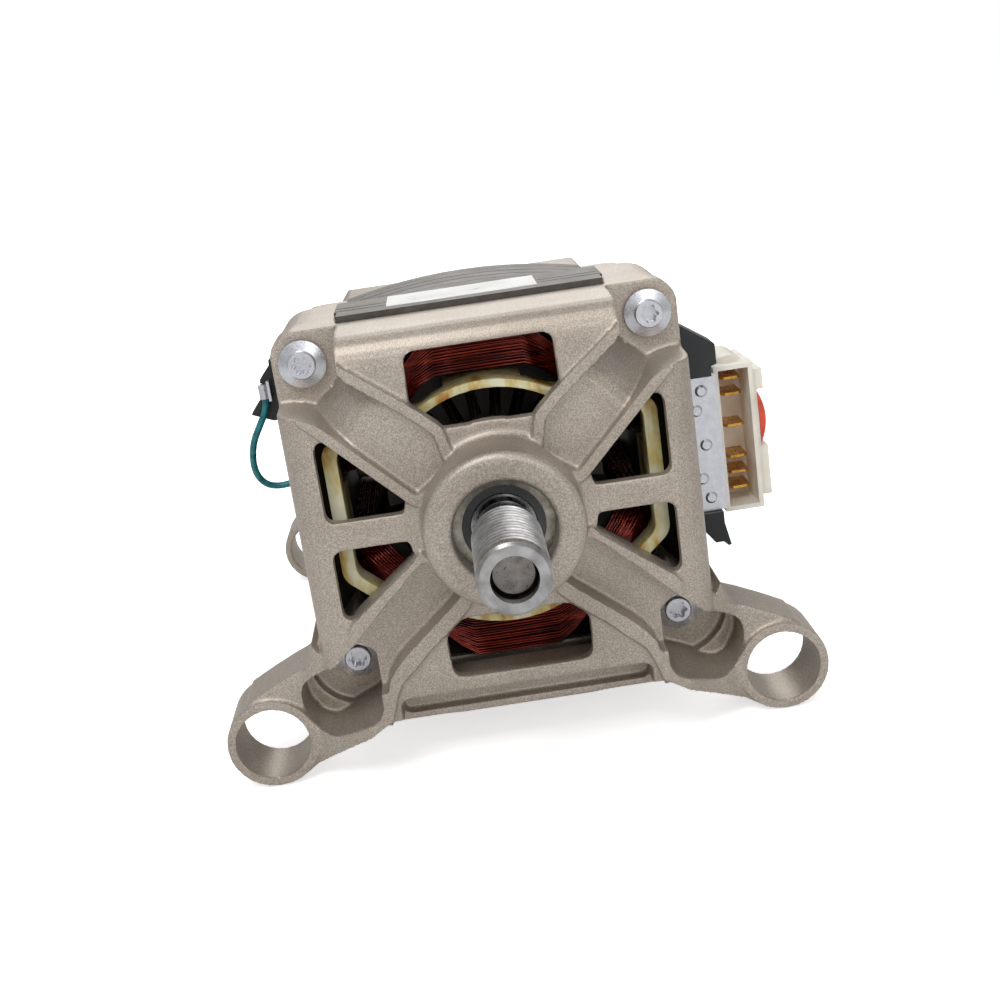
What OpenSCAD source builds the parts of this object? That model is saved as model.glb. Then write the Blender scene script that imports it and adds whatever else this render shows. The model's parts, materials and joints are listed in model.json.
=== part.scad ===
// Washing machine drive motor: a brushed universal motor with two die-cast end shields.
// All sizes are millimetres. The motor stands on its four mounting lugs, shaft level,
// with the belt pulley at the front (low Y) and the speed sensor at the back (high Y).
// Inside the modules, depth is measured along Y from the front face of the bearing boss,
// and X and Z are measured from the shaft axis.

/* [Mounting lugs] */
// Distance between the left and right lug axes
lug_span = 153.2; // [146:0.2:160]
// Height of the shaft axis above the lug axes
lug_drop = 63.3; // [61:0.1:68]
// Outer radius of a lug
lug_r = 13.6; // [12.6:0.1:15]
// Radius of the lug bore
lug_bore_r = 10.9; // [8:0.1:11.4]
// Length of each lug along the shaft
lug_len = 20.1; // [19.5:0.1:24]
// Depth of the front lugs' front face
lug_front = 27.6; // [26:0.1:30]
// Distance from the rear face to the rear lugs
rear_leg_reach = 7; // [3:0.5:14]

/* [Front shield] */
// Depth of the flat front face behind the bearing boss
face_depth = 17.5; // [17:0.1:18.5]
// Half of the width at the open end
shell_half_w = 58.3; // [57.4:0.1:60]
// Height of the top edge above the shaft axis
shell_top = 55.6; // [55:0.1:58]
// Drop of the bottom edge below the shaft axis
shell_bottom = 62.6; // [61.5:0.1:65]
// Wall thickness of the castings
wall = 3; // [2.6:0.1:3.4]
// Roundness of the front edges
edge_round = 9; // [6:0.5:11]
// Height by which the arm ribs stand proud of the face
rib_rise = 1.4; // [0.8:0.1:1.8]
// Width of the arm ribs
rib_w = 3.1; // [2.4:0.1:3.6]
// Depth of the shallow channel in the upper arms, below the face
upper_floor = 1.6; // [1:0.1:2.2]
// Depth of the deep channel in the lower arms, below the face
lower_floor = 6.6; // [4:0.1:6.8]
// Depth at which the skirt ends and the core begins
skirt_end = 50; // [49:0.5:52]
// Depth at which the upper ears of the two shields meet
ear_end = 80; // [72:0.5:90]
// Outer radius of the bearing boss
boss_r = 22.1; // [20:0.1:22.4]

/* [Shield screws] */
// Distance of the screws in from the sides of the front shield
screw_inset = 9.3; // [8.7:0.1:10.3]
// Distance of the upper screws below the top of the front shield
screw_drop = 9.7; // [9.2:0.1:10.6]
// Radius of the screw shank
screw_r = 2.5; // [2:0.1:2.9]
// Radius of the screw flange
flange_r = 6.7; // [6:0.1:7.2]
// Depth of the upper screw seats
pad_upper = 37.9; // [36:0.1:40]
// Thickness of the floor under the lower screws
seat_floor = 3.3; // [2.8:0.1:4.5]

/* [Pulley and shaft] */
// Distance that the pulley reaches ahead of the boss
pulley_reach = 37.1; // [35:0.1:42]
// Outer radius of the pulley ribs
pulley_r = 9.4; // [8.6:0.1:9.6]
// Number of belt ribs
rib_count = 12; // [8:1:12]
// Distance from one belt rib to the next
rib_pitch = 2.34; // [2.2:0.02:2.4]
// Radius of the shaft at the pulley
shaft_r = 6; // [5.4:0.1:6]

/* [Bearings] */
// Depth of the front bearing's front face
bearing_front = 6.1; // [5.6:0.1:6.6]
// Outer radius of the front bearing
bearing_r = 14; // [13.6:0.1:14]
// Width of both bearings
bearing_w = 8; // [8:0.1:8.4]
// Outer radius of the rear bearing
rear_bearing_r = 13; // [12.8:0.1:13.2]
// Bare length of the shaft between the commutator and the rear bearing
tail_len = 20; // [18:0.5:22]

/* [Core] */
// Length of the laminated core
stack_len = 65; // [60:0.5:67]
// How much narrower the core is than the front shield, on each side
stack_inset = 0.3; // [0.1:0.1:1.8]
// Height of the crowned top of the core above the top of the front shield
crown_rise = 0.6; // [0:0.1:1.4]
// Height of the core's flat front part above its crown
ledge_rise = 0.7; // [0.4:0.1:1.2]
// Length of the core's flat front part
ledge_len = 19; // [16:0.5:26]
// Fall of the crown from its middle to the ears
stack_fall = 4.4; // [3:0.1:5]
// Radius of the bore in the core
bore_r = 33; // [32.6:0.1:33.2]
// Gap between the armature and the core
air_gap = 0.6; // [0.4:0.1:0.8]

/* [Field coils] */
// Loops of wire that show on each coil
coil_loops = 11; // [6:1:11]
// Distance from one loop to the next
coil_pitch = 1.14; // [1.1:0.01:1.18]
// Radius of the wire
wire_r = 0.3; // [0.24:0.01:0.31]

/* [Commutator and brushes] */
// Radius of the commutator
comm_r = 18.2; // [17:0.1:18.6]
// Length of the commutator
comm_len = 30; // [26:0.5:31]
// Number of commutator bars
bar_count = 24; // [12:12:36]
// Height of a carbon brush
brush_h = 5; // [4.6:0.1:5.4]
// Width of a carbon brush along the shaft
brush_w = 12.5; // [11:0.1:13]
// Length of a carbon brush
brush_len = 21; // [18:0.5:22]

/* [Terminal block] */
// Width of the terminal block
block_w = 12; // [11.5:0.1:12.4]
// Length of the terminal block along the shaft
block_l = 23; // [20:0.5:25]
// Height of the terminal block
block_h = 46; // [44:0.5:47]
// Distance from one terminal to the next
tab_pitch = 5; // [4.8:0.1:5.1]
// Width of a terminal tab
tab_w = 6.3; // [5.8:0.1:6.5]
// Thickness of a terminal tab
tab_t = 0.8; // [0.6:0.1:1]

/* [Hidden] */
$fn = 48;

// Clearances and small sizes that several pieces share
over = 1;
far = 2 * lug_span;
seat_gap = 0.02;
slip = 0.3;
run_gap = 0.25;
shaft_height = lug_drop + lug_r;
lug_x = lug_span / 2;
leg_back = lug_front + lug_len;
screw_x = shell_half_w - screw_inset;
screw_z = shell_top - screw_drop;
pad_lower = leg_back - seat_floor;
stack_half_w = shell_half_w - stack_inset;
stack_crown = shell_top + crown_rise;
stack_end = skirt_end + stack_len;
rear_overhang = 17;
winding_gap = 4;
comm_front = stack_end + rear_overhang + winding_gap;
brush_depth = comm_front + comm_len / 2;
rear_bearing_front = comm_front + comm_len + tail_len;
rear_plane = rear_bearing_front + bearing_w + 2 * wall + 4 * wall / 3;
rear_lug_front = rear_plane + rear_leg_reach;
rear_lug_back = rear_lug_front + lug_len;
mid_depth = (rear_lug_back - pulley_reach) / 2;
web_t = 4;
corner_cut = 10.5;
steps = 6;

// Colours
cast_colour = "#a8a09a";
steel_colour = "#b9bcc2";
dark_steel = "#5d6064";
copper_colour = "#8a2414";
cream_colour = "#e6dfb8";
black_colour = "#23282a";
brass_colour = "#b07a1e";
zinc_colour = "#c8cdd8";

// Placing and turning

module place() {
    translate([0, -mid_depth, shaft_height]) children();
}

// A flat outline, drawn in X and Z, carried from depth a to depth b
module along(a, b) {
    translate([0, b, 0]) rotate([90, 0, 0]) linear_extrude(b - a) children();
}

// An outline of radius and depth, turned about the shaft axis
module turned(points) {
    rotate([-90, 0, 0]) rotate_extrude() polygon(points);
}

module rod(r, a, b) {
    translate([0, a, 0]) rotate([-90, 0, 0]) cylinder(r = r, h = b - a);
}

module tube(outer, inner, a, b) {
    difference() {
        rod(outer, a, b);
        rod(inner, a - over, b + over);
    }
}

module block(low, high) {
    translate(low) cube(high - low);
}

module both_sides() {
    children();
    mirror([1, 0, 0]) children();
}

module both_halves() {
    children();
    mirror([0, 0, 1]) children();
}

// Outlines: rounding and shrinking a polygon

function unit(v) = v / norm(v);
function wrap(i, n) = (i + n) % n;
function bend(a, p, b, s) = (1 - s) * (1 - s) * a + 2 * s * (1 - s) * p + s * s * b;
function limited(cut, p, q) = min(cut, 0.48 * norm(q - p));

// Each corner of the outline is cut back by its own length and rounded
function eased(pts, cuts) = [
    for (i = [0:len(pts) - 1])
    let (p = pts[i], q = pts[wrap(i - 1, len(pts))], r = pts[wrap(i + 1, len(pts))],
        c = is_list(cuts) ? cuts[i] : cuts)
    for (k = [0:(c > 0 ? steps : 0)])
    c > 0 ? bend(p + limited(c, p, q) * unit(q - p), p, p + limited(c, p, r) * unit(r - p), k / steps) : p];

// Each edge of an outline that runs anticlockwise moves in by t
function side_normal(a, b) = [a[1] - b[1], b[0] - a[0]] / norm(b - a);
function shrunk(pts, t) = [
    for (i = [0:len(pts) - 1])
    let (m = side_normal(pts[wrap(i - 1, len(pts))], pts[i]),
        n = side_normal(pts[i], pts[wrap(i + 1, len(pts))]))
    pts[i] + t * (m + n) / (1 + m * n)];

function scaled(shares, w, h) = [for (s = shares) [s[0] * w, s[1] * h]];

// A closed bowl: an outline in X and Z whose front edges are rounded and whose walls lean in
module bowl(outline, half_w, top, bottom, front, back, lean_side, lean_top, round) {
    plan = [[half_w, back], [-half_w, back], [-half_w + lean_side, front], [half_w - lean_side, front]];
    side = [[back, -bottom], [back, top], [front, top - lean_top], [front, lean_top - bottom]];
    reach = half_w + top + bottom;
    intersection() {
        along(front, back) polygon(outline);
        translate([0, 0, -reach]) linear_extrude(2 * reach) polygon(eased(plan, [0, 0, round, round]));
        translate([-reach, 0, 0]) rotate([90, 0, 90]) linear_extrude(2 * reach)
            polygon(eased(side, [0, 0, round, round]));
    }
}

// The core's flat front part reaches forward into a notch in the top of the front shield
nose_half = 0.6535 * shell_half_w;
nose_front = pad_upper + web_t + slip;

// Front shield

// Bottom corners of the shell, as shares of its half width and of its bottom drop
low_corner_shares = [[0.68, 0.965], [1, 0.83]];

function shell_outline(w, top, bottom) = eased([
    [-low_corner_shares[0][0] * w, -low_corner_shares[0][1] * bottom], [0, -bottom],
    [low_corner_shares[0][0] * w, -low_corner_shares[0][1] * bottom],
    [low_corner_shares[1][0] * w, -low_corner_shares[1][1] * bottom],
    [w, top], [-w, top],
    [-low_corner_shares[1][0] * w, -low_corner_shares[1][1] * bottom]],
    [0, 0, 0, wall, corner_cut, corner_cut, wall]);

// Upper arm and windows between arms, as shares of the screw's place
arm_shares = [[0.255, 0.588], [0.2, 0.3], [0.44, 0.12], [0.498, 0.142], [0.929, 0.61], [1.06, 0.74],
    [1.06, 1.1], [0.80, 1.1], [0.776, 1.046], [0.418, 0.745]];
side_window_shares = [[0.53, 0.087], [0.984, 0.087], [0.984, 0.566], [0.929, 0.61], [0.498, 0.142]];
top_window_shares = [[0.262, 0.573], [0.418, 0.745], [0.412, 1.052], [-0.412, 1.052],
    [-0.418, 0.745], [-0.262, 0.573]];
low_side_window_shares = [[0.53, 0.087], [0.984, 0.087], [0.984, 0.512], [0.939, 0.545], [0.498, 0.163]];
bottom_window_shares = [[0.31, 0.632], [0.418, 0.734], [0.414, 0.969], [0.378, 1.017],
    [-0.378, 1.017], [-0.414, 0.969], [-0.418, 0.734], [-0.31, 0.632]];

// Where the upper channel drops to the screw, and the metal behind that drop
drop_shares = [[0.453, 0.19], [0.884, 0.658], [0.929, 0.702], [1, 0.741], [1.102, 0.763], [1.245, 0.769],
    [1.245, 1.242], [0.776, 1.242], [0.786, 0.993], [0.745, 0.937], [0.457, 0.693]];
backing_shares = [[0.498, 0.142], [0.929, 0.614], [1.224, 0.614], [1.224, 1.264], [0.724, 1.264],
    [0.724, 1.007], [0.418, 0.745]];

// Lower arm with its leg, its channel and its pit: shares of the screw's place, then of the
// lug's place, measured sideways and down
low_arm_shares = [[0.49, 0.153], [0.204, 0.436], [0.259, 0.556], [0.394, 0.691], [0.531, 0.806],
    [0.633, 0.915], [0.714, 0.991], [0.759, 1.089], [0.8, 1.23]];
leg_under_shares = [[0.711, 1.04], [0.856, 1.152]];
leg_over_shares = [[0.975, 0.731], [0.884, 0.679]];
leg_root_shares = [[1.296, 0.9], [1.153, 0.797], [1.031, 0.68], [0.929, 0.542], [0.539, 0.216]];
leg_fillet_shares = [[1.18, 0.784], [1.224, 0.719], [1.233, 0.795], [1.257, 0.861], [1.296, 0.9], [1.163, 0.93]];
low_channel_shares = [[0.469, 0.218], [0.535, 0.268], [0.771, 0.503], [0.967, 0.708], [1.061, 0.806],
    [0.939, 1.024], [0.8, 1.046], [0.794, 0.969], [0.708, 0.847], [0.541, 0.695], [0.312, 0.49], [0.265, 0.414]];
pit_shares = [[0.967, 0.723], [1.102, 0.85], [1.265, 0.959], [1.327, 1.02], [1.347, 1.1], [1.333, 1.198],
    [1.269, 1.316], [1.192, 1.355], [1.129, 1.338], [0.996, 1.268], [0.886, 1.22], [0.849, 1.15], [0.849, 0.817]];

// Room for the lower coil behind the lower arms, in shares of the coil's half width and height
coil_room_shares = [[0, 0], [1.03, 0], [1.03, 0.522], [0.96, 0.652], [0.877, 0.709], [0.877, 1.18], [0, 1.18]];

window_round = 3.4;
channel_round = 2;
pit_round = 1.4;
arm_outline = scaled(arm_shares, screw_x, screw_z);

rib_front = face_depth - rib_rise;
lower_arm_back = face_depth + lower_floor + wall - 0.4 * wall / 3;
boss_round = 2.5;
boss_root = 2.4;
bearing_lip = 0.65;
ear_r = 9.6;
pad_r = 8.6;
pocket_r = 10.7;
pad_step = 1.2;
ramp_start = 44;
ramp_end = 57.4;
ledge_step = 3.2;
seat_r = 14.5;
ear_inner = screw_x - ear_r - 0.4 * wall / 3;
ear_inner_z = screw_z - ear_r;

// A leg runs from the shell's lower corner to its lug
leg_r = lug_r + 0.7 * wall / 3;
leg_top_angle = 65;
leg_bottom_angle = 112;
leg_front = lug_front + 0.5 * wall;
slope_start = 0.803 * shell_half_w;
slope_end = 1.111 * shell_half_w;
lug_centre = [lug_x, -lug_drop];
function lug_ring(a) = [lug_x + leg_r * cos(a), lug_drop + leg_r * sin(a)];
low_outline = concat(scaled(low_arm_shares, screw_x, screw_z), scaled(leg_under_shares, lug_x, lug_drop),
    [lug_ring(leg_bottom_angle), [lug_x, lug_drop], lug_ring(-leg_top_angle)],
    scaled(leg_over_shares, lug_x, lug_drop), scaled(leg_root_shares, screw_x, screw_z));

module downward() mirror([0, 0, 1]) children();

// A flat outline in shares of the screw's place, carried from depth a to depth b
module screw_plate(shares, cuts, a, b) {
    along(a, b) polygon(eased(scaled(shares, screw_x, screw_z), cuts));
}

module window_cuts(a, b) {
    both_sides() screw_plate(side_window_shares, window_round, a, b);
    both_sides() downward() screw_plate(low_side_window_shares, window_round, a, b);
    screw_plate(top_window_shares, [0, 0, window_round, window_round, 0, 0], a, b);
    downward() screw_plate(bottom_window_shares, channel_round, a, b);
}

arm_corner_shares = [1, 0, 0, 1, 1, 1, 1, 1, 1, 2];
module upper_arm() {
    along(rib_front, face_depth + web_t) intersection() {
        polygon(eased(arm_outline, channel_round * arm_corner_shares));
        polygon(shell_outline(shell_half_w - 2 * rib_rise, shell_top - 2 * rib_rise, shell_bottom));
    }
}

module upper_channel() {
    along(rib_front - over, face_depth + upper_floor) polygon(eased(shrunk(arm_outline, rib_w), channel_round));
}

// The line down which the upper channel's floor drops to the screw, moved by a radius and a depth
function drop_line(r, d) = [for (k = [0:steps]) bend([ramp_start + r, face_depth + upper_floor + d],
    [ramp_end - 4 * wall / 3 + r, face_depth + upper_floor + wall + d],
    [ramp_end + r, pad_upper + pad_step + d], k / steps)];

module drop_form(line, front) {
    reach = shell_half_w + shell_top;
    rotate([0, -atan2(screw_z, screw_x), 0]) translate([0, 0, -reach / 2]) linear_extrude(reach)
        polygon(concat([[line[0][0], front]], line, [[reach, line[steps][1]], [reach, front]]));
}

module pad_drop() intersection() {
    drop_form(drop_line(0, 0), rib_front - over);
    screw_plate(drop_shares, channel_round, rib_front - 2 * over, pad_upper + 2 * pad_step);
}

module pad_backing() intersection() {
    drop_form(drop_line(-wall, wall), face_depth + web_t / 2);
    screw_plate(backing_shares, 0, face_depth, pad_upper + pad_step + 2 * wall);
    shell_form();
}

// The corner in front of an upper screw is open, round towards the arm, and the seat stands proud in it
module corner_plan(r) {
    translate([screw_x, screw_z]) {
        circle(r = r);
        translate([0, -r]) square([shell_half_w, shell_half_w]);
        translate([-r, 0]) square([shell_half_w, shell_half_w]);
    }
}

module pad_pocket() difference() {
    along(0, pad_upper + pad_step) corner_plan(pocket_r);
    along(pad_upper, pad_upper + pad_step + over) corner_plan(pad_r);
}

module ear_square() translate([ear_inner, ear_inner_z]) square(shell_half_w);

module front_ear() along(skirt_end - over, ear_end) intersection() {
    polygon(shell_outline(shell_half_w - slip, shell_top - slip, shell_bottom - slip));
    ear_square();
}

module shell_form() {
    bowl(shell_outline(shell_half_w, shell_top, shell_bottom), shell_half_w, shell_top,
        shell_bottom, face_depth, skirt_end, 0.5 * wall, 0.5 * wall, edge_round);
}

module lower_arm_and_leg() difference() {
    union() {
        along(rib_front, leg_back) polygon(low_outline);
        screw_plate(leg_fillet_shares, 0, face_depth + over, leg_back);
    }
    along(lower_arm_back, leg_back + over)
        polygon(scaled(coil_room_shares, coil_half_w, coil_high + core_tall));
    linear_extrude(2 * lug_span) polygon([[slope_start, rib_front - over], [slope_start, rib_front],
        [slope_end, leg_front], [2 * lug_x, leg_front], [2 * lug_x, rib_front - over]]);
}

// The pit round a lower screw has a deep seat and a shallow ledge beside it
module leg_pit() {
    screw_plate(pit_shares, pit_round, rib_front - over, pad_lower - ledge_step);
    intersection() {
        screw_plate(pit_shares, pit_round, rib_front, pad_lower);
        translate([screw_x, 0, screw_z]) rod(seat_r, 0, pad_lower + over);
    }
}

// The groove along the bottom rim, between the legs
groove_half = 0.628 * shell_half_w;
groove_top = 0.815 * shell_bottom;
groove_low = 0.942 * shell_bottom;
groove_back = face_depth + 3.8 * wall;
lip_front = face_depth + 2.8 * wall;
module rim_body() {
    block([-groove_half - wall, face_depth + over, wall / 2 - shell_bottom],
        [groove_half + wall, groove_back + wall, wall - groove_top]);
}
module bottom_groove() {
    along(face_depth - over, groove_back) polygon(eased([[-groove_half, -groove_low],
        [groove_half, -groove_low], [groove_half, -groove_top], [-groove_half, -groove_top]], wall));
    block([-groove_half - 1.1 * wall, 0, -shell_bottom - over],
        [groove_half + 1.1 * wall, lip_front, -groove_low + over]);
}

module bearing_boss() {
    turned(concat(
        [[0, bearing_front + bearing_w + 3 * wall], [0, 0], [boss_r - boss_round, 0]],
        [for (k = [1:steps]) [boss_r - boss_round + boss_round * sin(90 * k / steps),
            boss_round - boss_round * cos(90 * k / steps)]],
        [[boss_r, face_depth - boss_root]],
        [for (k = [1:steps]) [boss_r + boss_root - boss_root * cos(90 * k / steps),
            face_depth - boss_root + boss_root * sin(90 * k / steps)]],
        [[boss_r + 2 * boss_root, face_depth], [boss_r + 2 * boss_root, face_depth + web_t],
            [boss_r - boss_root, bearing_front + bearing_w + 3 * wall]]));
}

module front_bearing_seat() {
    turned([[0, -over], [bearing_r + bearing_lip, -over], [bearing_r + bearing_lip, 0],
        [bearing_r + seat_gap, bearing_lip], [bearing_r + seat_gap, bearing_front + bearing_w],
        [bearing_r - wall, bearing_front + bearing_w],
        [bearing_r - wall, bearing_front + 2 * bearing_w + over],
        [0, bearing_front + 2 * bearing_w + over]]);
}

// The sill keeps the gap between the core and the bottom wall closed, clear of the lower coil
module front_sill() {
    block([-groove_half, skirt_end - wall, -0.96 * shell_bottom],
        [groove_half, skirt_end - seat_gap, -coil_high - core_tall - wall]);
}

module front_casting() difference() {
    union() {
        difference() {
            shell_form();
            bowl(shell_outline(shell_half_w - wall, shell_top - wall, shell_bottom - wall),
                shell_half_w - wall, shell_top - wall, shell_bottom - wall,
                face_depth + web_t, skirt_end + over, 0.5 * wall, 0.5 * wall, edge_round - wall);
            window_cuts(face_depth - over, face_depth + web_t + over);
            block([-nose_half - slip, nose_front - slip, 0], [nose_half + slip, skirt_end + over, 2 * shell_top]);
        }
        rim_body();
        front_sill();
        intersection() {
            shell_form();
            both_sides() {
                along(face_depth + web_t - over, skirt_end) ear_square();
                downward() along(face_depth + web_t + wall, skirt_end) ear_square();
            }
        }
        both_sides() {
            upper_arm();
            pad_backing();
            downward() lower_arm_and_leg();
            both_halves() front_ear();
            translate([lug_x, 0, -lug_drop]) rod(lug_r, lug_front, leg_back);
        }
        bearing_boss();
    }
    both_sides() {
        upper_channel();
        pad_drop();
        pad_pocket();
        downward() screw_plate(low_channel_shares, channel_round, rib_front - over, face_depth + lower_floor);
        downward() leg_pit();
        both_halves() translate([screw_x, 0, screw_z]) rod(screw_r + slip, 0, ear_end + over);
        translate([lug_x, 0, -lug_drop]) rod(lug_bore_r, lug_front - over, leg_back + over);
    }
    bottom_groove();
    front_bearing_seat();
}

// The front shield is one casting. It is given as three pieces that meet face to face: the face
// with its arms and boss, the skirt with the ears, and the outer part of the legs.
face_cut = lower_arm_back + slip;
leg_cut = shell_half_w + slip;
module front_shield() color(cast_colour) place() intersection() {
    front_casting();
    block([-leg_cut, -far, -far], [leg_cut, face_cut, far]);
}
module front_skirt() color(cast_colour) place() intersection() {
    front_casting();
    block([-leg_cut, face_cut + seat_gap, -far], [leg_cut, far, far]);
}
module front_legs() color(cast_colour) place() intersection() {
    front_casting();
    both_sides() block([leg_cut + seat_gap, -far, -far], [far, far, far]);
}

// Rear shield

rear_half_w = stack_half_w - 0.5 * wall;
rear_rise = 2.8;
ear_top = screw_z + screw_r + 0.75 * wall;
rear_top = stack_crown - stack_fall + rear_rise;
rear_bottom = rear_top;
rear_fall = 3.6 * wall;
rear_hub_r = rear_bearing_r + 1.6 * wall;
holder_w = brush_w + 2 * wall;
holder_h = brush_h + 3.4 * wall;
port_half_w = holder_w / 2 + slip;
port_half_h = holder_h / 2 + slip;
sensor_len = 7;

// Upper right corner of the rear shield, as shares of its half width and height
rear_corner_shares = [[1, 0.52], [0.72, 0.9], [0.36, 1]];
function rear_corner(w, h) = scaled(rear_corner_shares, w, h);
function rear_outline(w, h) = concat(rear_corner(w, h), [for (k = [2:-1:0]) rear_corner(-w, h)[k]],
    rear_corner(-w, -h), [for (k = [2:-1:0]) rear_corner(w, -h)[k]]);

// Openings in the back face, between the rear arms, as shares of the half width and height
rear_window_shares = [[0.51, 0.14], [0.84, 0.14], [0.84, 0.46], [0.81, 0.44]];
rear_top_window_shares = [[0.18, 0.46], [0.4, 0.745], [-0.4, 0.745], [-0.18, 0.46]];

module flip(depth) {
    translate([0, depth, 0]) mirror([0, 1, 0]) children();
}

module rear_leg() {
    low = rear_plane - 3 * wall;
    middle = rear_plane + wall;
    difference() {
        along(low, rear_lug_back) polygon(rear_leg_outline);
        translate([0, 0, -2 * lug_span]) linear_extrude(2 * lug_span) {
            polygon([[0.9 * rear_half_w, low - over], [0.9 * rear_half_w, low],
                [lug_x - 0.6 * leg_r, rear_lug_front], [2 * lug_x, rear_lug_front], [2 * lug_x, low - over]]);
            polygon([[0.5 * rear_half_w, middle], [0.8 * rear_half_w, middle],
                [lug_x - leg_r, rear_lug_back], [lug_x - leg_r, rear_lug_back + over],
                [0.5 * rear_half_w, rear_lug_back + over]]);
        }
        along(rear_plane, rear_lug_back + over) difference() {
            polygon(eased(rear_pit, wall));
            translate(lug_centre) circle(r = leg_r + 0.5 * wall);
        }
    }
}

rear_leg_outline = [
    [0.55 * rear_half_w, -0.84 * rear_bottom],
    lug_centre + leg_r * [cos(leg_bottom_angle), -sin(leg_bottom_angle)],
    lug_centre,
    lug_centre + leg_r * [cos(leg_top_angle), sin(leg_top_angle)],
    [0.98 * rear_half_w, -0.62 * rear_bottom],
    [0.72 * rear_half_w, -0.55 * rear_bottom]];
rear_pit = [
    [0.72 * rear_half_w, -0.88 * rear_bottom],
    [1.14 * rear_half_w, -1.22 * rear_bottom],
    [1.14 * rear_half_w, -0.84 * rear_bottom],
    [0.96 * rear_half_w, -0.72 * rear_bottom],
    [0.76 * rear_half_w, -0.68 * rear_bottom]];

module rear_ear() {
    along(ear_end, stack_end + 2 * wall) intersection() {
        polygon(shell_outline(stack_half_w, ear_top, ear_top));
        translate([ear_inner, ear_inner_z]) square(shell_half_w);
    }
}

module rear_bowl() difference() {
    flip(rear_plane + stack_end) bowl(rear_outline(rear_half_w, rear_top), rear_half_w,
        rear_top, rear_bottom, stack_end, rear_plane, 0, rear_fall, edge_round);
    flip(rear_plane + stack_end) bowl(rear_outline(rear_half_w - wall, rear_top - wall),
        rear_half_w - wall, rear_top - wall, rear_bottom - wall,
        stack_end + web_t, rear_plane + over, 0, rear_fall, edge_round - wall);
    both_halves() along(rear_plane - web_t - 2 * over, rear_plane + over) {
        both_sides() polygon(eased(scaled(rear_window_shares, rear_half_w, rear_top), window_round));
        polygon(eased(scaled(rear_top_window_shares, rear_half_w, rear_top), window_round));
    }
    both_sides() block([0, brush_depth - port_half_w, -port_half_h],
        [rear_half_w + over, brush_depth + port_half_w, port_half_h]);
}

module rear_bearing_seat() {
    seat = rear_bearing_r + seat_gap;
    stop = rear_bearing_front + bearing_w + washer_h;
    turned([[0, rear_bearing_front - wall - over], [seat, rear_bearing_front - wall - over], [seat, stop],
        [rear_bearing_r - wall, stop], [rear_bearing_r - wall, rear_plane + sensor_len],
        [0, rear_plane + sensor_len]]);
}

module rear_casting() difference() {
    union() {
        rear_bowl();
        both_sides() {
            rear_leg();
            both_halves() rear_ear();
            translate([lug_x, 0, -lug_drop]) rod(lug_r, rear_lug_front, rear_lug_back);
            along(rear_plane, rear_plane + rib_rise) both_halves()
                polygon([[rear_hub_r, 0], [0.8 * rear_half_w, 0.42 * rear_top], [0.62 * rear_half_w, 0.6 * rear_top],
                    [0.6 * rear_hub_r, 0.8 * rear_hub_r]]);
        }
        rod(rear_hub_r, rear_bearing_front - wall, rear_plane + rib_rise + sensor_len / 4);
    }
    rear_bearing_seat();
    both_sides() {
        both_halves() translate([screw_x, 0, screw_z])
            rod(screw_r + seat_gap, ear_end - over, stack_end + 1.5 * wall);
        translate([lug_x, 0, -lug_drop]) rod(lug_bore_r, rear_lug_front - over, rear_lug_back + over);
        both_halves() translate([0, brush_depth, holder_screw_z]) rotate([0, 90, 0])
            cylinder(r = holder_screw_r + slip, h = shell_half_w);
    }
}

// The rear shield is one casting too: its walls with the ears, its end with the bearing seat,
// and its legs, cut off beside and behind the end
rear_cut = rear_plane - 3 * wall - slip;
rear_leg_in = 0.5 * rear_half_w - over;
rear_leg_start = rear_plane + rib_rise + slip;
module rear_leg_room(more) both_sides() {
    block([rear_leg_in - more, rear_leg_start - more, -far], [far, far, 0]);
    block([rear_half_w + slip - more, rear_cut - over, -far], [far, far, 0]);
}
module rear_hub_room(more) rod(rear_hub_r + over + more, rear_bearing_front - 2 * wall, far);

module rear_shield() color(cast_colour) place() difference() {
    intersection() {
        rear_casting();
        block([-far, 0, -far], [far, rear_cut - seat_gap, far]);
    }
    rear_hub_room(seat_gap);
}
module rear_end_plate() color(cast_colour) place() difference() {
    intersection() {
        rear_casting();
        union() {
            block([-far, rear_cut, -far], [far, far, far]);
            rear_hub_room(0);
        }
    }
    rear_leg_room(seat_gap);
}
module rear_legs() color(cast_colour) place() intersection() {
    rear_casting();
    rear_leg_room(0);
}

holder_screw_r = 1.5;
holder_screw_z = port_half_h + wall + holder_screw_r;
washer_h = 1.2;

// Core, field coils and their frames

slot_in = 34.4;
slot_out = 45.6;
slot_half_h = 24;
slot_mouth = 7;
stack_gap = 0.1;

function crown(w, h, fall, n) = [for (k = [-n:n]) [w * k / n, h - fall * (k / n) * (k / n)]];

function stack_outline(fall, rise) =
    let (top = crown(ear_inner - stack_gap, stack_crown + rise, fall, steps),
        low = crown(ear_inner - stack_gap, stack_crown, stack_fall, steps),
        w = ear_inner - stack_gap, h = ear_inner_z - stack_gap)
    concat(top, [[w, h], [stack_half_w, h], [stack_half_w, -h], [w, -h]],
        [for (p = low) [-p[0], -p[1]]], [[-w, -h], [-stack_half_w, -h], [-stack_half_w, h], [-w, h]]);

// Fine grooves across the top, as shares of the flat part and of the crowned part
ledge_groove_shares = [0.34, 0.52];
crown_groove_shares = [0.12, 0.3, 0.48, 0.66, 0.84];
groove_w = 0.7;
groove_deep = 0.4;

module top_groove(depth, fall, rise) {
    skin = crown(ear_inner, stack_crown + rise, fall, steps);
    along(depth, depth + groove_w)
        polygon(concat([for (p = skin) p - [0, groove_deep]],
            [[ear_inner, 2 * stack_crown], [-ear_inner, 2 * stack_crown]]));
}

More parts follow.
